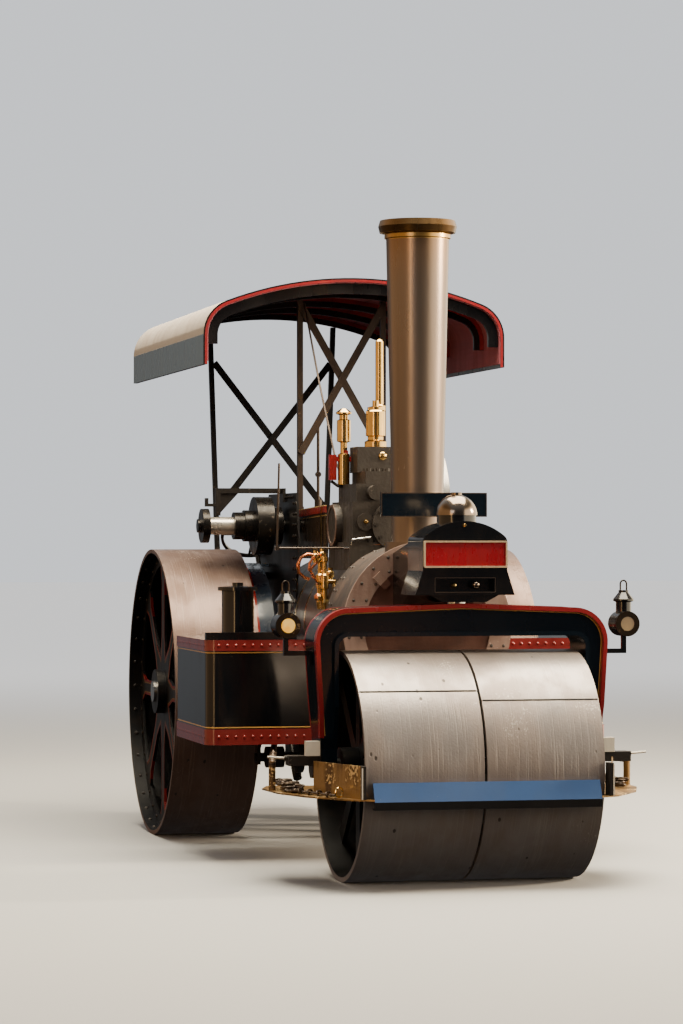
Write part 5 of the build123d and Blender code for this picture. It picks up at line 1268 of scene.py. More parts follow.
@dataclass
class Yoke(Assembly):
    """Arched yoke: red edges round the flanges, red reveals and a gold line on the recessed face."""

    foot_half: float = 726.0
    top_half: float = 782.0
    foot_z: float = 482.0
    shoulder_z: float = 1392.0
    crown_z: float = 1422.0
    depth: float = 140.0
    foot_depth: float = 95.0
    taper_z: float = 900.0
    taper_low: float = 686.0
    corner: float = 175.0
    band: float = 22.0
    recess: float = 34.0
    wrap: float = 42.0
    lining_low: float = 742.0

    def half_depth(self, z: float) -> float:
        """Returns the distance of the outer faces from the middle at a height."""
        share = min(max((self.taper_z - z) / (self.taper_z - self.taper_low), 0.0), 1.0)
        return self.depth - (self.depth - self.foot_depth) * share

    def half_width(self, z: float, inset: float) -> float:
        """Returns half the width at a height, less an inset."""
        share = (z - self.foot_z + inset) / (self.shoulder_z - self.foot_z)
        return self.foot_half - inset + (self.top_half - self.foot_half) * share

    def outline(self, inset: float, low: float) -> list[Flat]:
        """Outer outline of the yoke from the front.

        Args:
            inset: How far inside the edge.
            low: Height where it ends on each side.

        Returns:
            Points from the right leg over the crown to the left leg.
        """
        right = [(-self.half_width(z, inset), z) for z in (low, low + 12.0, self.taper_z)]
        top, shoulder = self.top_half - inset, self.shoulder_z - inset
        points = right + [(-top, shoulder), (0.0, self.crown_z - inset), (top, shoulder)]
        points += [(-x, z) for x, z in reversed(right)]
        corner = self.corner - inset
        return rounded(points, (0, 0, 0, corner, 0, corner, 0, 0, 0), 12)

    def strip(self, fitting: Fitting, insets: Flat, span: Flat, way: float, low: float, bed: bool = False) -> None:
        """Adds a strip that follows the arch.

        Args:
            fitting: The mesh that gets it.
            insets: Its outer and its inner edge.
            span: Where it starts and ends behind the outer face, or behind the recessed one.
            way: -1 for the front, 1 for the back.
            low: Height where it ends on each side.
            bed: True to lie on the recessed face.
        """
        rows = []
        for edges in zip(self.outline(insets[0], low), self.outline(insets[1], low)):
            ends = [[(x, way * ((self.depth - self.recess if bed else self.half_depth(z)) - behind), z)
                     for x, z in edges] for behind in span]
            row = ends[0] + ends[1][::-1]
            if not rows or row != rows[-1]:
                rows.append(row)
        fitting.rings(rows)

    def build(self) -> None:
        """Dresses the yoke and adds its lining."""
        self.paint(YOKE_BLACK, "yoke")
        self.paint(DARK_IRON, "front_axle", "tray_packings")
        self.paint(BRIGHT_STEEL, "kingpin")
        low, inner = self.lining_low, self.band
        for name, way, wrap in (("front", -1.0, self.wrap), ("back", 1.0, self.wrap / 2)):
            edge = Fitting(f"yoke_edge_{name}", "yoke", RED_PAINT)
            self.strip(edge, (0.4, inner - 0.4), (-1.0, 0.5), way, low)
            self.strip(edge, (-0.9, 0.3), (-0.6, wrap), way, low)
            self.strip(edge, (inner - 0.2, inner + 1.0), (0.4, self.recess), way, low + 6.0)
            edge.done()
            line = Fitting(f"yoke_line_{name}", "yoke", GOLD_LINE)
            self.strip(line, (inner + 2.5, inner + 7.0), (-1.0, 0.4), way, low + 10.0, bed=True)
            line.done()


@dataclass
class Headstock(Assembly):
    """Headstock with its lined front, blank plate, slot frame, bolts and dome."""

    front: float = -180.0
    plate_front: float = -192.3
    plate: Point = (217.5, 1609.0, 1741.0)
    slot: Point = (153.0, 1487.0, 1548.0)
    slot_bolt: Flat = (60.0, 1517.0)
    slot_screw: Flat = (-48.0, 1515.0)
    head_screw: Flat = (-4.0, 1822.0)

    def outline(self, size: Point, grow: float, corner: float) -> list[Flat]:
        """Returns a rounded rectangle about a half width, a lower and an upper edge."""
        return rounded(rectangle(*size, grow), (corner,) * 4, 4)

    def build(self) -> None:
        """Dresses the headstock."""
        self.paint(BLACK_PAINT, "perch_bracket")
        self.paint(PLATE_RED, "name_plate")
        self.paint(DOME_STEEL, "kingpin_cap")
        rim = Fitting("plate_rim", "chassis", PALE_RIM)
        rim.band(self.outline(self.plate, 3, 9), self.outline(self.plate, -6, 4), Axis.Y, self.plate_front - 3,
                 self.plate_front + 12)
        rim.done()
        line = Fitting("slot_frame", "chassis", BROWN_STEEL)
        line.band(self.outline(self.slot, 8, 5), self.outline(self.slot, 5, 3), Axis.Y, self.front - 0.8,
                  self.front + 0.5)
        line.done()
        bolts = Fitting("slot_bolts", "chassis", DOME_STEEL)
        x, z = self.slot_bolt
        bolts.lathe([(0, -16), (11, -14), (18, -8), (20, 0), (20, 8)], (x, self.front + 11.0, z), Axis.Y, 24)
        bolts.done()
        others = Fitting("head_screw", "chassis", BRASS)
        x, z = self.head_screw
        others.lathe([(0, -5), (8, -4), (11, 0), (11, 4)], (x, self.front - 1.0, z), Axis.Y, 20)
        x, z = self.slot_screw
        others.lathe([(0, -12), (9, -9), (13, 0), (13, 24)], (x, self.front + 36.0, z), Axis.Y, 20)
        others.done()


@dataclass
class Smokebox(Assembly):
    """Smokebox with its bolted ring, and the chimney."""

    front: float = 606.0
    back: float = 1150.0
    centre: float = 1280.0
    radius: float = 440.0
    ring: float = 462.0
    board: Point = (288.5, 1870.0, 1998.0)
    board_y: float = 463.0

    def build(self) -> None:
        """Dresses the smokebox and chimney."""
        self.paint(replace(DOOR_IRON, front=metres(0.0, self.front, 0.0).y), "smokebox")
        self.paint(STACK_IRON, "chimney")
        self.paint(YOKE_BLACK, "number_board")
        middle = (0.0, self.front + 0.3, self.centre)
        rings = [ring_run(middle, self.ring - inset, Axis.Y, -1.0) for inset in (30, 96)]
        RIVETS.lay("smokebox_rivets", "chassis", SLOT_IRON, rings, spacing=104.0, radius=9.0)
        rings = [ring_run((0.0, self.back - inset, self.centre), self.radius, Axis.Y) for inset in (30, 90)]
        RIVETS.lay("smokebox_seam_rivets", "chassis", SLOT_IRON, rings, spacing=80.0, radius=10.0)
        edge = Fitting("board_edge", "chassis", BROWN_STEEL)
        edge.band(rectangle(*self.board), rectangle(*self.board, -5), Axis.Y, self.board_y - 1.2, self.board_y + 0.5)
        edge.done()


@dataclass
class Boiler(Assembly):
    """Lagged barrel with brass bands, and the firebox."""

    radius: float = 400.0
    centre: Flat = (0.0, 1280.0)
    bands: tuple[float, ...] = (1180.0, 1880.0, 2140.0)
    half_band: float = 14.0
    starts: Flat = (112.0, -62.0)
    turn: float = 130.0

    def build(self) -> None:
        """Dresses the boiler."""
        self.paint(LAGGING, "boiler_barrel")
        self.paint(DARK_IRON, "firebox", "firehole_hinge", "firehole_door", "tank_saddles")
        bands = Fitting("boiler_bands", "chassis", BRASS)
        for y in self.bands:
            for start in self.starts:
                outer, inner = (circle(self.radius + gap, 24, start, self.turn, self.centre) for gap in (1.5, -0.5))
                bands.band(outer, inner, Axis.Y, y - self.half_band, y + self.half_band, closed=False)
        bands.done()


@dataclass
class BellyTank(Assembly):
    """Belly tank with riveted red strips, gold lines and the filler pot."""

    front: float = 1015.0
    back: float = 2000.0
    half: float = 1125.0
    corner: float = 70.0
    levels: Flat = (687.0, 1179.0)

    def build(self) -> None:
        """Dresses the tank and rivets its front and back."""
        self.paint(TANK_BLACK, "belly_tank")
        self.paint(BLACK_PAINT, "tank_canister")
        reach = self.half - self.corner
        runs = [facing_run([(-reach, y, level), (reach, y, level)], (0.0, way, 0.0))
                for level in self.levels for y, way in ((self.front, -1.0), (self.back, 1.0))]
        # The front and back rivets get a lighter red than the strips below them: a painted highlight.
        red = replace(RED_PAINT, name="rivet_red", color=(0.34, 0.03, 0.025))
        RIVETS.lay("tank_rivets", "chassis", red, runs, spacing=46.0, radius=9.0)


@dataclass
class Engine(Assembly):
    """Cylinder block, crank, rods and their sheets, with the small bolts and pipes on the block."""

    sheet_y: float = 1850.0
    crank_y: float = 2550.0
    crank_z: float = 1830.0
    block_front: float = 1310.0
    stud_x: tuple[float, ...] = (-232.0, -150.0, -70.0, 70.0, 150.0, 232.0)
    stud_z: float = 1747.0
    chest_x: tuple[float, ...] = (-128.0, -75.0, -22.0)
    chest_y: Flat = (1445.0, 1520.0)
    chest_top: float = 2131.0
    cover_y: float = 1690.0
    cover_x: float = 283.0
    cover_front: float = 1296.0
    horn_x: float = 394.0
    horn_y: Flat = (2150.0, 2210.0)
    horn_z: Flat = (700.0, 1960.0)
    horn_top: float = 1995.0
    horn_span: Flat = (2250.0, 2440.0)
    feed_pipe: tuple[Point, ...] = ((-268.0, 1450.0, 1702.0), (-262.0, 1318.0, 1704.0), (-251.0, 1303.0, 1750.0),
                                    (-150.0, 1301.0, 1762.0))
    drain: tuple[Point, ...] = ((-200.0, 1318.0, 1716.0), (-90.0, 1316.0, 1724.0), (-40.0, 1318.0, 1724.0))
    long_loop: tuple[Flat, ...] = ((-430.0, 1665.0), (-478.0, 1668.0), (-512.0, 1650.0), (-532.0, 1612.0),
                                   (-526.0, 1568.0), (-492.0, 1538.0), (-466.0, 1530.0))
    long_loop_y: float = 1440.0
    short_loop: tuple[Flat, ...] = ((-415.0, 1668.0), (-452.0, 1648.0), (-470.0, 1622.0), (-474.0, 1580.0))
    short_loop_y: float = 1415.0
    lever: tuple[tuple[Flat, Flat, Flat], ...] = (
        ((-292.0, -250.0), (1712.0, 1742.0), (2085.0, 2228.0)),
        ((-260.0, -165.0), (1716.0, 1738.0), (2190.0, 2218.0)),
        ((-212.0, -184.0), (1710.0, 1744.0), (2170.0, 2252.0)))
    arm: tuple[Point, ...] = ((-279.0, 1727.0, 2080.0), (-240.0, 1727.0, 2052.0), (-200.0, 1727.0, 2050.0))
    strap: tuple[Flat, Flat, Flat] = ((-297.0, -292.5), (1912.0, 1930.0), (1648.0, 1940.0))
    valves: tuple[Point, ...] = ((-430.0, 1440.0, 1655.0), (-395.0, 1430.0, 1665.0), (-345.0, 1450.0, 1560.0))

    def bolts(self) -> None:
        """Bolts the block, the valve chest and the front cover."""
        studs = facing_run([(x, self.block_front + 1.0, self.stud_z) for x in self.stud_x], (0.0, -1.0, 0.0))
        SPOT_BOLTS.lay("block_bolts", "chassis", DARK_IRON, [studs], radius=13.0, height=26.0)
        tops = facing_run([(x, y, self.chest_top) for x in self.chest_x for y in self.chest_y], (0.0, 0.0, 1.0))
        SPOT_BOLTS.lay("chest_bolts", "chassis", BLOCK_IRON, [tops], radius=13.0, height=30.0)
        ring = ring_run((0.0, self.cover_front, self.crank_z), 118.0, Axis.Y, -1.0, 24)
        BOLTS.lay("cover_bolts", "chassis", DARK_IRON, [ring], spacing=74.0, radius=10.0, height=22.0)

    def block_details(self) -> None:
        """Adds cover rims, pipes and the lubricator's lever to the block."""
        bright = Fitting("cover_centre", "chassis", BRASS)
        bright.lathe([(0, -9), (9, -7), (14, 0), (14, 5)], (-175.0, self.block_front - 10.0, 1848.0), Axis.Y, 20)
        bright.lathe([(0, -8), (16, -6), (23, 0), (24, 10)], (-20.0, 1556.0, 2218.0), Axis.Y, 24)
        bright.done()
        rim = Fitting("cover_rim", "chassis", RUSTY_IRON)
        outer, inner = (circle(radius, 40, centre=(self.cover_y, self.crank_z)) for radius in (117.0, 101.0))
        rim.band(outer, inner, Axis.X, -self.cover_x - 3.0, -self.cover_x + 3.0)
        rim.done()
        loops = [[lift(flat, Axis.Y, y) for flat in loop]
                 for loop, y in ((self.long_loop, self.long_loop_y), (self.short_loop, self.short_loop_y))]
        for name, finish, paths in (
                ("block_pipes", BRIGHT_STEEL, ((self.feed_pipe, 6.0, 8),)),
                ("drain_pipe", COPPER, ((self.drain, 7.0, 8), (loops[0], 9.0, 10), (loops[1], 7.0, 10)))):
            pipes = Fitting(name, "chassis", finish)
            for path, radius, sides in paths:
                pipes.tube(path, radius, sides)
            pipes.done()
        lever = Fitting("lubricator_lever", "chassis", RED_PAINT)
        for block in self.lever:
            lever.box(*block)
        lever.done()
        valves = Fitting("feed_valves", "chassis", BRASS)
        for place in self.valves:
            valves.lathe([(0, -34), (15, -34), (15, -20), (22, -16), (22, 12), (14, 18), (14, 34), (0, 34)], place,
                         Axis.Z, 16)
            valves.lathe([(0, -34), (11, -32), (15, -22), (15, 0), (0, 0)], place, Axis.Y, 16)
        valves.done()
        arm = Fitting("lubricator_arm", "chassis", DARK_IRON)
        arm.tube(self.arm, 9.0, 8)
        arm.done()
        strap = Fitting("sheet_strap", "chassis", BRASS)
        strap.box(*self.strap)
        strap.done()

    def build(self) -> None:
        """Dresses the engine."""
        crank = metres(0.0, self.crank_y, self.crank_z)
        for finish, nodes in (
                (BLOCK_IRON, ("cylinder_block",)), (DARK_IRON, ("crank_bearings", "crank_bracket")),
                (SHAFT_STEEL, ("crankshaft",)), (BRASS, ("brass_fittings",)), (PIPE_BRASS, ("boiler_fittings",)),
                (BRIGHT_STEEL, ("crosshead", "slide_bars", "connecting_rod")), (BROWN_STEEL, ("control_rods",)),
                (replace(BROWN_PAINT, front=metres(0.0, self.sheet_y, 0.0).y), ("motion_sheets",)),
                (FRAME_BLACK, ("hornplates",)), (GUARD_SKY_REFLECTION, ("gear_guard",)),
                (replace(FLYWHEEL_PAINT, centre=(crank.y, crank.z)), ("flywheel",))):
            self.paint(finish, *nodes)
        self.bolts()
        self.block_details()
        runs = []
        for side in (-1.0, 1.0):
            x = side * self.horn_x
            ends = [[(x, y, z) for z in self.horn_z] for y in self.horn_y] + [[(x, y, self.horn_top)
                                                                             for y in self.horn_span]]
            runs += [facing_run(points, (side, 0.0, 0.0)) for points in ends]
        RIVETS.lay("horn_rivets", "chassis", FRAME_BLACK, runs, spacing=62.0, radius=11.0)


@dataclass
class RearWheels(Assembly):
    """Rear wheels: worn tread, lined black spokes and rivets."""

    centre_y: float = 3020.0
    radius: float = 846.0
    outer: float = 1088.0
    ring_face: float = 1018.0
    ring_reach: float = 790.0

    def build(self) -> None:
        """Dresses the wheels."""
        axle = metres(0.0, self.centre_y, self.radius)
        self.paint(replace(WHEEL_STEEL, centre=(axle.y, axle.z)), "wheel_right", "wheel_left")
        self.paint(BRIGHT_STEEL, "rear_axle")
        self.paint(DARK_IRON, "final_gear")
        for name, side in (("right", -1.0), ("left", 1.0)):
            middle = (side * (self.outer - 36), self.centre_y, self.radius)
            rim = ring_run(middle, self.radius - 24.0, Axis.X, steps=96)
            inward = replace(rim, facing=tuple(tuple(-c for c in way) for way in rim.facing))
            RIVETS.lay(f"wheel_rivets_{name}", f"wheel_{name}", WHEEL_INSIDE, [inward], spacing=150.0, radius=13.0)
            face = (side * (self.ring_face + 0.3), self.centre_y, self.radius)
            RIVETS.lay(f"ring_rivets_{name}", f"wheel_{name}", WHEEL_INSIDE,
                       [ring_run(face, self.ring_reach, Axis.X, side, steps=96)], spacing=150.0, radius=11.0, seed=2)


@dataclass
class Tender(Assembly):
    """Tender with lined panels, footplate and drawbar."""

    front: float = 3420.0
    step: float = 3800.0
    rise: float = 3890.0
    slant: float = 4600.0
    back: float = 4800.0
    half: float = 470.0
    low: float = 640.0
    heel: float = 760.0
    sill: float = 1270.0
    high: float = 1500.0
    corner: float = 40.0
    rivet_inset: float = 30.0

    def side(self) -> list[Flat]:
        """Returns the outline of one side."""
        return [(self.front, self.low), (self.slant, self.low), (self.back, self.heel), (self.back, self.high),
                (self.rise, self.high), (self.step, self.sill), (self.front, self.sill)]

    def panel(self, fitting: Fitting, axis: Axis, face: list[Flat], level: float, inset: float, width: float) -> None:
        """Adds a lining frame to one face.

        Args:
            fitting: The mesh that gets it.
            axis: The axis that the face looks along.
            face: The face's outline.
            level: Place of the face.
            inset: How far inside the face's edges.
            width: Width of the line.
        """
        way = math.copysign(1.0, level)
        outer, inner = (rounded(drawn_in(face, gap), (self.corner,) * len(face), 4) for gap in (inset, inset + width))
        fitting.band(outer, inner, axis, level - way * 0.5, level + way * 0.8)

    def build(self) -> None:
        """Dresses the tender."""
        self.paint(TENDER_PAINT, "tender")
        self.paint(FLOOR_PLATE, "footplate")
        self.paint(DARK_IRON, "drawbar")
        rear = rectangle(self.half, self.heel, self.high)
        for name, finish, inset, width in (("red", RED_PAINT, 60.0, 22.0), ("gold", GOLD_LINE, 88.0, 5.0)):
            line = Fitting(f"tender_line_{name}", "chassis", finish)
            for axis, face, level in ((Axis.X, self.side(), -self.half), (Axis.X, self.side(), self.half),
                                      (Axis.Y, rear, self.back)):
                self.panel(line, axis, face, level, inset, width)
            line.done()
        gap = self.rivet_inset
        rows = ((self.front + gap, self.slant - 20, self.low + gap), (self.rise + 20, self.back - gap, self.high - gap),
                (self.front + gap, self.step - 20, self.sill - gap))
        runs = [facing_run([(side * self.half, y0, z), (side * self.half, y1, z)], (side, 0.0, 0.0))
                for side in (-1.0, 1.0) for y0, y1, z in rows]
        runs += [facing_run([(gap - self.half, self.back, z), (self.half - gap, self.back, z)], (0.0, 1.0, 0.0))
                 for z in (self.heel + gap, self.high - gap)]
        RIVETS.lay("tender_rivets", "chassis", FRAME_BLACK, runs, spacing=60.0, radius=8.0)


@dataclass
class Canopy(Assembly):
    """Curved canopy: cream boards on top, crimson boards beneath, red edges, posts and braces."""

    front: float = 2330.0
    back: float = 4850.0
    half: float = 900.0
    crown: float = 3275.0
    arch: float = 2130.0
    corner: float = 210.0
    thick: float = 24.0
    low: float = 2763.0
    bow_low: float = 2885.0
    bows: tuple[float, ...] = (359.0, 1170.0, 1770.0, 2437.0)
    bow_depth: Flat = (6.0, 30.0)
    stay: tuple[Point, ...] = ((-229.0, 2683.0, 3146.0), (-236.0, 2230.0, 2650.0), (-232.0, 1800.0, 2180.0),
                               (-195.0, 1745.0, 2055.0))

    def section(self, inset: float, low: float) -> list[Flat]:
        """Half-open outline of the roof from the front.

        Args:
            inset: How far inside the outer skin.
            low: Height where the outline ends on each side.

        Returns:
            Points from the right edge over the crown to the left edge.
        """
        half = self.half - inset
        radius = self.arch - inset
        centre = self.crown - self.arch
        corner = self.corner - inset
        hub_x = half - corner
        hub_z = centre + math.sqrt((radius - corner) ** 2 - hub_x ** 2)
        meet = math.atan2(hub_z - centre, hub_x)
        top = math.pi / 2 - meet
        side = [(half, low), (half, hub_z)]
        side += [(hub_x + corner * math.cos(meet * s / 6), hub_z + corner * math.sin(meet * s / 6))
                 for s in range(1, 7)]
        side += [(radius * math.sin(top * (1 - s / 12)), centre + radius * math.cos(top * (1 - s / 12)))
                 for s in range(1, 13)]
        return [(-x, z) for x, z in side] + [(x, z) for x, z in reversed(side[:-1])]

    def sheet(self, fitting: Fitting, insets: Flat, low: float, start: float, end: float) -> None:
        """Adds a curved sheet under the skin.

        Args:
            fitting: The mesh that gets it.
            insets: Its upper and its lower face, inside the outer skin.
            low: Height where it ends on each side.
            start: Its front edge.
            end: Its rear edge.
        """
        fitting.band(self.section(insets[0], low), self.section(insets[1], low), Axis.Y, start, end, closed=False)

    def build(self) -> None:
        """Dresses the canopy."""
        self.paint(ROOF_CREAM, "canopy_roof")
        self.paint(BROWN_STEEL, "canopy_front_frame")
        self.paint(FRAME_BLACK, "canopy_rear_frame")
        under = Fitting("roof_boards", "chassis", ROOF_BOARDS)
        self.sheet(under, (self.thick + 0.4, self.thick + 5), self.low + 20, self.front + 4, self.back - 4)
        under.done()
        edge = Fitting("roof_edge", "chassis", ROOF_RED)
        for face, way in ((self.front, -1.0), (self.back, 1.0)):
            self.sheet(edge, (9.0, self.thick - 0.5), self.low + 1, face - way * 1.0, face + way * 1.5)
        for place in self.bows:
            face = self.front + place
            self.sheet(edge, (self.thick + self.bow_depth[0], self.thick + self.bow_depth[1]), self.bow_low, face - 1.5,
                       face + 1.0)
        edge.done()
        stay = Fitting("canopy_stay", "chassis", BROWN_STEEL)
        stay.tube(self.stay, 6.0, 8)
        stay.done()


@dataclass
class TraysAndBar(Assembly):
    """Scraper bar and the chain trays beside the rolls, with slack chain and with brackets whose pale pieces are
    painted highlights.
    """

    top: float = 465.0
    middle: float = 865.0
    rear: float = 225.0
    seed: int = 7
    heaped: int = 34
    trailing: int = 9
    left_heaped: int = 16
    heap_length: float = 330.0
    left_step: float = 22.0
    scatter: float = 34.0
    tilt: float = 0.6
    trail: Point = (-868.0, -125.0, 477.0)
    trail_step: Flat = (14.5, -42.0)
    link_wire: float = 5.5
    link_round: float = 15.0
    link_straight: float = 14.0
    link_points: int = 16
    shackle: Point = (-731.0, -497.0, 494.0)
    shackle_size: Point = (20.0, 9.0, 24.0)
    irons: tuple[tuple[Flat, Flat, Flat], ...] = (((628.0, 648.0), (-646.0, -566.0), (466.0, 630.0)),
                                                  ((742.0, 905.0), (-112.0, -18.0), (602.0, 652.0)))
    # Pale blocks on the brackets' edges and tops, painted as highlights.
    edges: tuple[tuple[Flat, Flat, Flat], ...] = (((644.0, 650.0), (-650.0, -645.0), (467.0, 622.0)),
                                                  ((745.0, 815.0), (-118.0, -64.0), (652.0, 726.0)))
    boss: Point = (908.0, -60.0, 640.0)
    rod: tuple[Point, Point] = ((1004.0, -52.0, 646.0), (900.0, -58.0, 638.0))

    def link(self, fitting: Fitting, centre: Point, turn: float, lean: float) -> None:
        """Adds one chain link.

        Args:
            fitting: The mesh that gets it.
            centre: Its middle.
            turn: The way it points, in radians about the vertical.
            lean: How far it is tipped on its side, in radians.
        """
        along = Vector((math.cos(turn), math.sin(turn), 0.0))
        side = Vector((-math.sin(turn) * math.cos(lean), math.cos(turn) * math.cos(lean), math.sin(lean)))
        path = []
        for step in range(self.link_points):
            angle = math.tau * step / self.link_points
            out, across = math.cos(angle), math.sin(angle)
            reach = self.link_straight * math.copysign(1.0, out) + self.link_round * out
            shift = along * reach + side * (self.link_round * across)
            path.append(tuple(Vector(centre) + shift))
        fitting.tube(path, self.link_wire, 8, closed=True)

    def slack_chain(self) -> None:
        """Lays a heap of chain on each tray, with links that trail to a shackle on the right."""
        chance = Random(self.seed)
        left = Fitting("slack_chain_left", "yoke", CHAIN_IRON)
        right = Fitting("slack_chain", "yoke", CHAIN_IRON)
        low = self.top + 9.0
        for place in range(self.heaped):
            share = place / (self.heaped - 1.0)
            y = self.rear - self.heap_length * share + chance.uniform(-30.0, 30.0)
            x = -self.middle + chance.uniform(-self.scatter, self.scatter)
            z = low + chance.uniform(0.0, 42.0) * (1.0 - share * 0.6)
            self.link(right, (x, y, z), chance.uniform(0.0, math.tau), chance.uniform(-self.tilt, self.tilt))
        for place in range(self.trailing):
            turned = place % 2
            x, y, z = self.trail
            self.link(right, (x + self.trail_step[0] * place, y + self.trail_step[1] * place, z),
                      1.57 - 0.33 * (turned * 2 - 1) - 0.3, 0.15 + 1.0 * turned)
        right.done()
        ring = Fitting("chain_shackle", "yoke", BRASS)
        x, y, z = self.shackle_size
        ring.tube([tuple(Vector(self.shackle) + Vector((x * math.cos(a), y * math.cos(a), z * math.sin(a))))
                   for a in (math.tau * s / 20 for s in range(20))], 4.5, 8, closed=True)
        ring.done()
        for place in range(self.left_heaped):
            x = self.middle + chance.uniform(-self.scatter, self.scatter)
            y = self.rear - self.left_step * place + chance.uniform(-20.0, 20.0)
            z = low + chance.uniform(0.0, 38.0)
            self.link(left, (x, y, z), chance.uniform(0.0, math.tau), chance.uniform(-self.tilt, self.tilt))
        left.done()

    def build(self) -> None:
        """Dresses the trays and adds chain and brackets."""
        # The scraper bar gets the painted sky reflection above its black lower flange.
        self.paint(BAR_SKY_REFLECTION, "scraper_bar")
        self.paint(TRAY_METAL, "chain_trays")
        self.slack_chain()
        iron = Fitting("tray_brackets", "yoke", DARK_IRON)
        # The pale pieces are painted highlights on the dark brackets.
        bright = Fitting("bracket_edges", "yoke", PALE_HIGHLIGHT_STEEL)
        for side in (-1.0, 1.0):
            for fitting, blocks in ((iron, self.irons), (bright, self.edges)):
                for (inner, outer), y, z in blocks:
                    fitting.box((side * inner, side * outer), y, z)
            x, y, z = self.boss
            iron.lathe([(0, -12), (12, -12), (12, 12), (0, 12)], (side * x, y, z), Axis.X, 16)
            bright.tube([(side * x, y, z) for x, y, z in self.rod], 6.0, 10)
        iron.done()
        bright.done()


@dataclass
class Lamps(Assembly):
    """Two lamps on the yoke with bronze rims and loop handles."""

    x: float = 900.0
    z: float = 1312.0
    rim: Flat = (65.0, 37.0)
    rim_y: Flat = (-76.0, -67.0)
    top: float = 1484.0
    loop: Flat = (17.0, 19.0)
    loop_rise: float = 34.0

    def build(self) -> None:
        """Dresses the lamps and adds rims and handles."""
        self.paint(BLACK_PAINT, "lamps")
        self.paint(FLAME_GLASS, "lamp_lenses")
        rims = Fitting("lamp_rims", "yoke", LAMP_RIM)
        for side in (-1.0, 1.0):
            outer, inner = (circle(radius, 40, centre=(side * self.x, self.z)) for radius in self.rim)
            rims.band(outer, inner, Axis.Y, *self.rim_y)
            loop = [(side * self.x + self.loop[0] * math.cos(a), 0.0,
                     self.top + self.loop_rise + self.loop[1] * math.sin(a))
                    for a in (math.pi * s / 10 for s in range(11))]
            ends = [(x, 0.0, self.top - 3.0) for x in (loop[0][0], loop[-1][0])]
            rims.tube(ends[:1] + loop + ends[1:], 4.5, 8)
        rims.done()


@dataclass
class SteeringGear(Assembly):
    """Chain barrel, hangers, column and chains."""

    def build(self) -> None:
        """Dresses the steering gear."""
        self.paint(DARK_IRON, "steering_barrel", "barrel_hangers", "steering_column")
        self.paint(CHAIN_IRON, "steering_chain_right", "steering_chain_left")


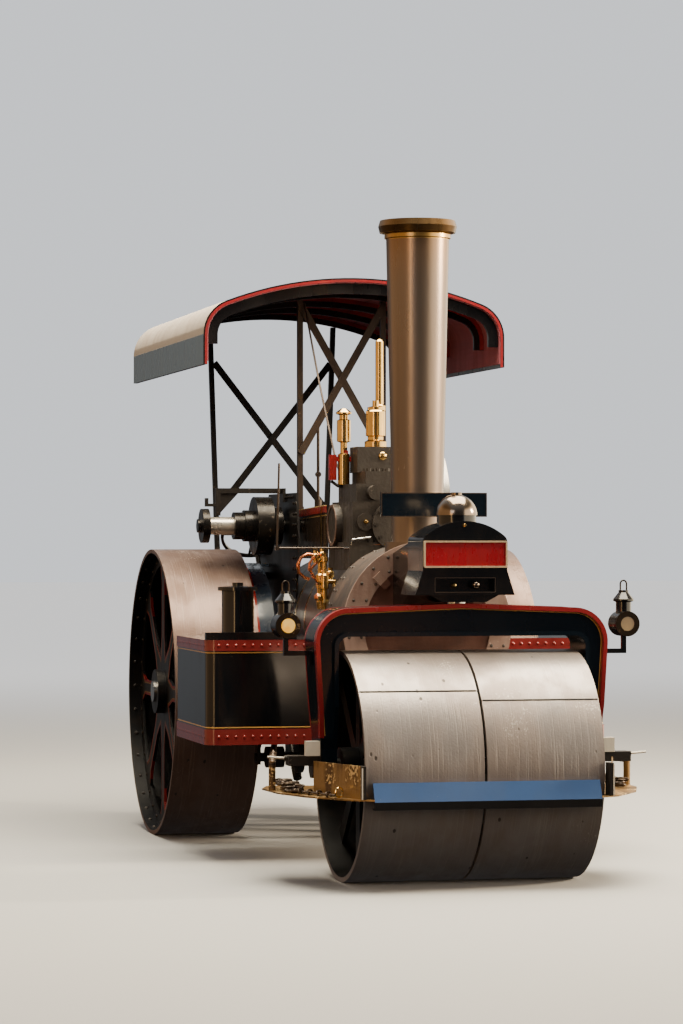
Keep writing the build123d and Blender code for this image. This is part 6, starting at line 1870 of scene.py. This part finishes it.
@dataclass
class Studio:
    """Pale floor, soft light and the camera."""

    camera: Point = (-4.428, -19.180, 1.748)
    ahead: Point = (0.2195, 0.9756, 0.0082)
    lens: float = 119.53
    sensor: float = 36.0
    backdrop: Color = (0.86, 0.89, 0.93)
    warm: Color = (1.0, 0.84, 0.6)
    amber: Color = (1.0, 0.62, 0.32)
    low_glow: float = 0.07
    high_glow: float = 0.65
    top_glow: float = 0.35
    right_glow: float = 3.6
    left_glow: float = 0.65
    below_glow: float = 0.05
    least_glow: float = 0.04
    seen_glow: float = 1.05

    def add(self, name: str, data: Any, place: Point = (0.0, 0.0, 0.0), ahead: Vector | None = None) -> Any:
        """Puts an object into the scene.

        Args:
            name: Its name.
            data: Its mesh, light or camera.
            place: Where it is.
            ahead: The way a light or camera looks.

        Returns:
            The object.
        """
        made = bpy.data.objects.new(name, data)
        made.location = place
        if ahead:
            made.rotation_euler = ahead.to_track_quat("-Z", "Y").to_euler()
        bpy.context.scene.collection.objects.link(made)
        return made

    def paper(self, sh: Skin) -> dict[str, Any]:
        """Builds paper that glows more and more towards the backdrop.

        Args:
            sh: The material's tree.

        Returns:
            What the shader's inputs get.
        """
        far = sh.ramp(sh.parts(sh.place)["Y"], 5.0, 26.0)
        return {"Base Color": (0.4, 0.4, 0.4), "Roughness": 0.8, "Specular IOR Level": 0.1,
                "Emission Color": self.backdrop, "Emission Strength": sh.times(far, 0.75)}

    def floor(self) -> None:
        """Lays the pale floor, which fades into the pale backdrop far behind the roller."""
        data = bpy.data.meshes.new("floor")
        data.from_pydata([(-60, -40, 0), (60, -40, 0), (60, 120, 0), (-60, 120, 0)], [], [(0, 1, 2, 3)])
        data.materials.append(surfaced("floor_paper", self.paper))
        made = self.add("floor", data)
        made.visible_diffuse = False
        made.visible_glossy = False

    def light(self, name: str, place: Point, target: Point, size: Flat, power: float, color: Color) -> None:
        """Hangs one soft light.

        Args:
            name: Its name.
            place: Where it is.
            target: What it points at.
            size: Its width and height.
            power: Its power in watts.
            color: Its colour.
        """
        data = bpy.data.lights.new(name, "AREA")
        data.energy = power
        data.color = color
        data.shape = "RECTANGLE"
        data.size, data.size_y = size
        self.add(name, data, place, Vector(target) - Vector(place))

    def world(self) -> None:
        """Lights from a pale sky that is bright at the right, less at the left, and low behind the roller."""
        world = bpy.data.worlds.new("studio")
        world.use_nodes = True
        sh = Shader(world.node_tree)
        seen = sh.node("ShaderNodeLightPath").outputs["Is Camera Ray"]
        way = sh.parts(sh.coordinates("Generated"))
        high = sh.plus(self.low_glow, sh.times(sh.ramp(way["Z"], 0.1, 0.45), self.high_glow))
        around = sh.plus(self.least_glow, sh.times(sh.ramp(way["Y"], 0.1, 0.9), high))
        around = sh.plus(around, sh.times(sh.ramp(way["Z"], 0.25, 0.9), self.top_glow))
        right, left = sh.ramp(way["X"], 0.45, 0.62), sh.ramp(way["X"], -0.5, -0.75)
        sides = sh.plus(sh.times(right, self.right_glow), sh.times(left, self.left_glow))
        around = sh.plus(around, sh.times(sides, sh.minus(1.0, sh.ramp(way["Z"], 0.35, 0.6))))
        around = sh.plus(self.below_glow, sh.times(around, sh.ramp(way["Z"], -0.12, -0.02)))
        strength = sh.plus(sh.times(seen, self.seen_glow), sh.times(sh.minus(1.0, seen), around))
        tint = sh.blend(left, sh.blend(right, self.backdrop, self.warm), self.amber)
        sky = sh.node("ShaderNodeBackground", {"Color": sh.blend(seen, tint, self.backdrop), "Strength": strength})
        sh.node("ShaderNodeOutputWorld", {"Surface": sky.outputs[0]})
        bpy.context.scene.world = world

    def build(self) -> None:
        """Sets floor, lights, world and camera."""
        self.floor()
        self.light("overhead", (1.0, -0.6, 9.5), (0.6, -0.6, 0.0), (9.0, 8.0), 4600.0, (1.0, 0.88, 0.66))
        self.light("sun", (13.0, -3.0, 5.5), (0.0, -0.8, 1.4), (1.6, 1.6), 3600.0, (1.0, 0.8, 0.56))
        self.light("strip", (-7.6, -10.4, 2.4), (-0.4, -1.6, 1.3), (1.2, 5.0), 120.0, (1.0, 0.6, 0.25))
        self.light("front", (-9.0, -14.0, 7.0), (0.0, -1.5, 1.3), (5.0, 4.0), 230.0, (1.0, 0.94, 0.92))
        self.light("card", (2.45, -14.7, 0.05), (-0.6, -1.2, 0.7), (0.66, 1.45), 11.0, (1.0, 0.42, 0.17))
        self.world()
        data = bpy.data.cameras.new("camera")
        data.lens = self.lens
        data.sensor_width = self.sensor
        data.sensor_fit = "AUTO"
        data.clip_end = 300.0
        bpy.context.scene.camera = self.add("camera", data, self.camera, Vector(self.ahead))


def main() -> None:
    """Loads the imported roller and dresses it."""
    logging.basicConfig(level=logging.INFO, format="%(message)s")
    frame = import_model()
    for kind in (FrontRolls, Yoke, Headstock, Smokebox, Boiler, BellyTank, Engine, RearWheels, Tender, Canopy,
                 TraysAndBar, Lamps, SteeringGear):
        log.info("building %s", kind.__name__)
        kind(frame).build()
    Studio().build()
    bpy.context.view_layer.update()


if __name__ == "__main__":
    main()
